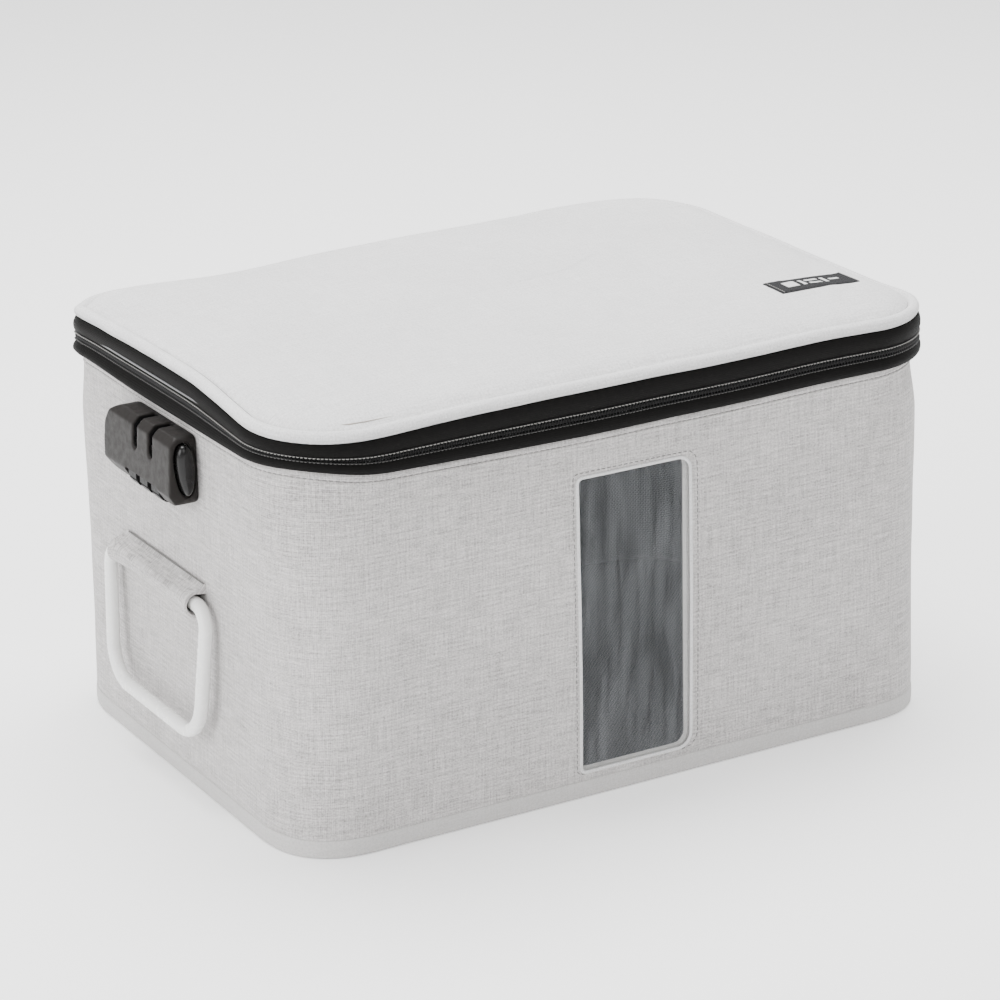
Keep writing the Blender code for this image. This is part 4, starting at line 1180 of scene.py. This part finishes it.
def build_lock_housing():
    housing = lock_body("lock_housing_shell", 0.0)
    skin = BVHTree.FromPolygons([v.co for v in housing.data.vertices],
                                [p.vertices for p in housing.data.polygons])
    for y in SLOT_YS:
        outline = arc_points((y, LOCK_HIGH.z - SLOT_DEPTH + SLOT_HALF), SLOT_HALF, 180, 360, 12)
        outline += [(y + SLOT_HALF, LOCK_HIGH.z + 5), (y - SLOT_HALF, LOCK_HIGH.z + 5)]
        cut_with(housing, prism_object("tool_slot", outline, "X", -(WALL_X + 19), -(WALL_X + 1.6), "dark"))
    soften(housing, 0.5, 18)
    cut_with(housing, lock_body("tool_cavity", HOUSING_T))
    chassis_low, chassis_high = node_box("lock_chassis")
    front, rear, top = chassis_low.y + 1.6, chassis_high.y - 1.6, LOCK_LOW.z + 7.0
    gap_outline = [(front, LOCK_LOW.z - 2), (rear, LOCK_LOW.z - 2), (rear, top - 1.6), (rear - 1.6, top),
                   (front + 1.6, top), (front, top - 1.6)]
    cut_with(housing, prism_object("tool_dials", gap_outline, "X", -(WALL_X + 19), -(WALL_X + 0.9), "dark"))
    shaft = joint_place("dial_2_spin")
    room = [(shaft.x + a, shaft.z + b) for a, b in ellipse(DIAL_ROOM_R, DIAL_ROOM_R, 40)]
    cut_with(housing, prism_object("tool_room", room, "Y", front, rear, "dark"))
    front = LOCK_LOW.y
    cut_with(housing, prism_object("tool_button", button_shape(0.7), "Y", front - 2, front + 8.5, "dark"))
    cut_with(housing, prism_object("tool_bezel", button_shape(1.7), "Y", front - 2, front + 0.9, "dark"))
    housing.data.materials.clear()
    housing.data.materials.append(MATERIALS["lock"])
    housing.data.materials.append(MATERIALS["dark"])
    # Faces more than 1.1 mm under the outer skin get the darker plastic: painted shade in the slots, cavity
    # and openings.
    for polygon in housing.data.polygons:
        depth = skin.find_nearest(polygon.center)[3]
        polygon.material_index = 1 if depth > 1.1 * MM else 0
    housing.data.shade_smooth()
    housing.data.set_sharp_from_angle(angle=math.radians(25))
    bevelled(housing, 0.2, 2, 40.0)
    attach(housing, "box")
    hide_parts("lock_housing")


def build_button():
    front = LOCK_LOW.y
    layers = [(front + 3.9, 0.0), (front - BUTTON_SHOULDER, 0.0)]
    for i in range(1, 11):
        angle = math.radians(90 * i / 10)
        layers.append((front - BUTTON_SHOULDER - (BUTTON_DOME - BUTTON_SHOULDER) * math.sin(angle),
                       -4.3 * (1 - math.cos(angle))))
    verts = [(x, y, z) for y, margin in layers for x, z in button_shape(margin)]
    faces = tube_faces(0, len(layers), BUTTON_STEPS)
    button = finish_mesh("release_button_cap", verts, faces, "button", "release_button", smooth=50.0)
    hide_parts("lock_button")


def build_dial_marks():
    """Plain digits on the dials' crests."""
    for number in (1, 2, 3):
        centre = joint_place(f"dial_{number}_spin")
        for i in range(DIAL_RIBS):
            angle = math.radians(360.0 * i / DIAL_RIBS)
            out = Vector((math.cos(angle), 0.0, math.sin(angle)))
            text = bpy.data.curves.new(f"digit_{number}_{i}", "FONT")
            text.body = str((i + 3) % DIAL_RIBS)
            text.size = 2.2 * MM
            text.extrude = 0.06 * MM
            text.align_x = text.align_y = "CENTER"
            made = new_object(f"digit_{number}_{i}", text)
            along = Vector((0.0, 1.0, 0.0))
            basis = Matrix((along, out.cross(along), out)).transposed().to_4x4()
            basis.translation = (centre + out * (DIAL_R * math.cos(math.radians(13)) + 0.02)) * MM
            made.matrix_world = basis
            text.materials.append(MATERIALS["digit"])
            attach(made, f"dial_{number}")


def dress_cad_nodes():
    """Materials, and eased edges, for the CAD nodes that stay as they are."""
    looks = {
        "board": ("front_board", "back_board", "left_board", "right_board", "bottom_board", "lid_board"),
        "foam": ("corner_pad_front_left", "corner_pad_front_right", "corner_pad_rear_left",
                 "corner_pad_rear_right", "window_facing"),
        "steel": ("lock_backing_plate", "lock_screw_1", "lock_screw_2", "lock_spring", "lock_latch"),
        "zip_metal": ("lock_chassis", "lock_dial_shaft", "zip_slider_front", "zip_slider_rear",
                      "zip_pull_front", "zip_pull_rear", "zip_stop_left", "zip_stop_right"),
        "dial": ("lock_dial_1", "lock_dial_2", "lock_dial_3"),
    }
    eased = {"zip_metal": 0.3, "dial": 0.25, "steel": 0.15}
    for look, names in looks.items():
        for name in names:
            node = NODES[name]
            node.data.materials.clear()
            node.data.materials.append(MATERIALS[look])
            if look in eased and name not in ("lock_spring", "lock_dial_shaft"):
                bevelled(node, eased[look], 2, 35.0)


# ---------------------------------------------------------------- stage, light and camera


FLOOR_HALF, FLOOR_GLOW, SKY_STRENGTH = 3.0, 0.35, 0.85
CAMERA_LENS, CAMERA_PLACE = 128.77, (-0.8365, -1.4903, 0.7239)
CAMERA_AZIMUTH, CAMERA_ELEVATION, CAMERA_ROLL = (math.radians(a) for a in (-29.337, 19.821, -1.323))


def build_stage():
    half = FLOOR_HALF
    mesh = bpy.data.meshes.new("floor")
    mesh.from_pydata([(-half, -half, 0), (half, -half, 0), (half, half, 0), (-half, half, 0)], [],
                     [(0, 1, 2, 3)])
    floor = new_object("floor", mesh)
    made, _, shader = new_material("pale_floor")
    plug(shader, {"Base Color": (0.95, 0.95, 0.948), "Roughness": 0.6, "Emission Color": (1.0, 1.0, 1.0),
                  "Emission Strength": FLOOR_GLOW})
    mesh.materials.append(made)
    world = bpy.data.worlds.new("studio")
    world.use_nodes = True
    plug(world.node_tree.nodes["Background"], {"Color": (1.0, 1.0, 1.0), "Strength": SKY_STRENGTH})
    bpy.context.scene.world = world


def area_light(name, place, target, size, power):
    data = bpy.data.lights.new(name, "AREA")
    data.shape = "RECTANGLE"
    data.size, data.size_y = size
    data.energy = power
    lamp = new_object(name, data)
    lamp.location = place
    lamp.rotation_euler = (Vector(target) - Vector(place)).to_track_quat("-Z", "Y").to_euler()


def build_lights():
    """Soft lights aimed at the middle of the box: place and size in metres, power in watts."""
    middle = (0.0, 0.0, 0.1)
    area_light("key", (-0.5, -1.6, 1.7), middle, (1.6, 1.2), 20.0)
    area_light("fill", (-2.0, -0.1, 1.0), middle, (1.4, 1.4), 40.0)
    area_light("top", (0.2, 0.5, 2.0), middle, (1.8, 1.4), 95.0)


def build_camera():
    data = bpy.data.cameras.new("camera")
    data.sensor_width = 36.0
    data.lens = CAMERA_LENS
    camera = new_object("camera", data)
    back = Vector((math.sin(CAMERA_AZIMUTH) * math.cos(CAMERA_ELEVATION),
                   -math.cos(CAMERA_AZIMUTH) * math.cos(CAMERA_ELEVATION), math.sin(CAMERA_ELEVATION)))
    right = (-back).cross(Vector((0, 0, 1))).normalized()
    up = right.cross(-back).normalized()
    rolled_right = right * math.cos(CAMERA_ROLL) + up * math.sin(CAMERA_ROLL)
    rolled_up = up * math.cos(CAMERA_ROLL) - right * math.sin(CAMERA_ROLL)
    basis = Matrix((rolled_right, rolled_up, back)).transposed().to_4x4()
    basis.translation = Vector(CAMERA_PLACE)
    camera.matrix_world = basis
    bpy.context.scene.camera = camera


def main():
    build_cover()
    build_binding()
    build_linings()
    build_window()
    build_tapes()
    build_zip()
    build_hinge_strip()
    build_piping()
    build_label(build_lid_top())
    build_handle("left", -1)
    build_handle("right", 1)
    build_lock_housing()
    build_button()
    build_dial_marks()
    dress_cad_nodes()
    build_stage()
    build_lights()
    build_camera()


main()
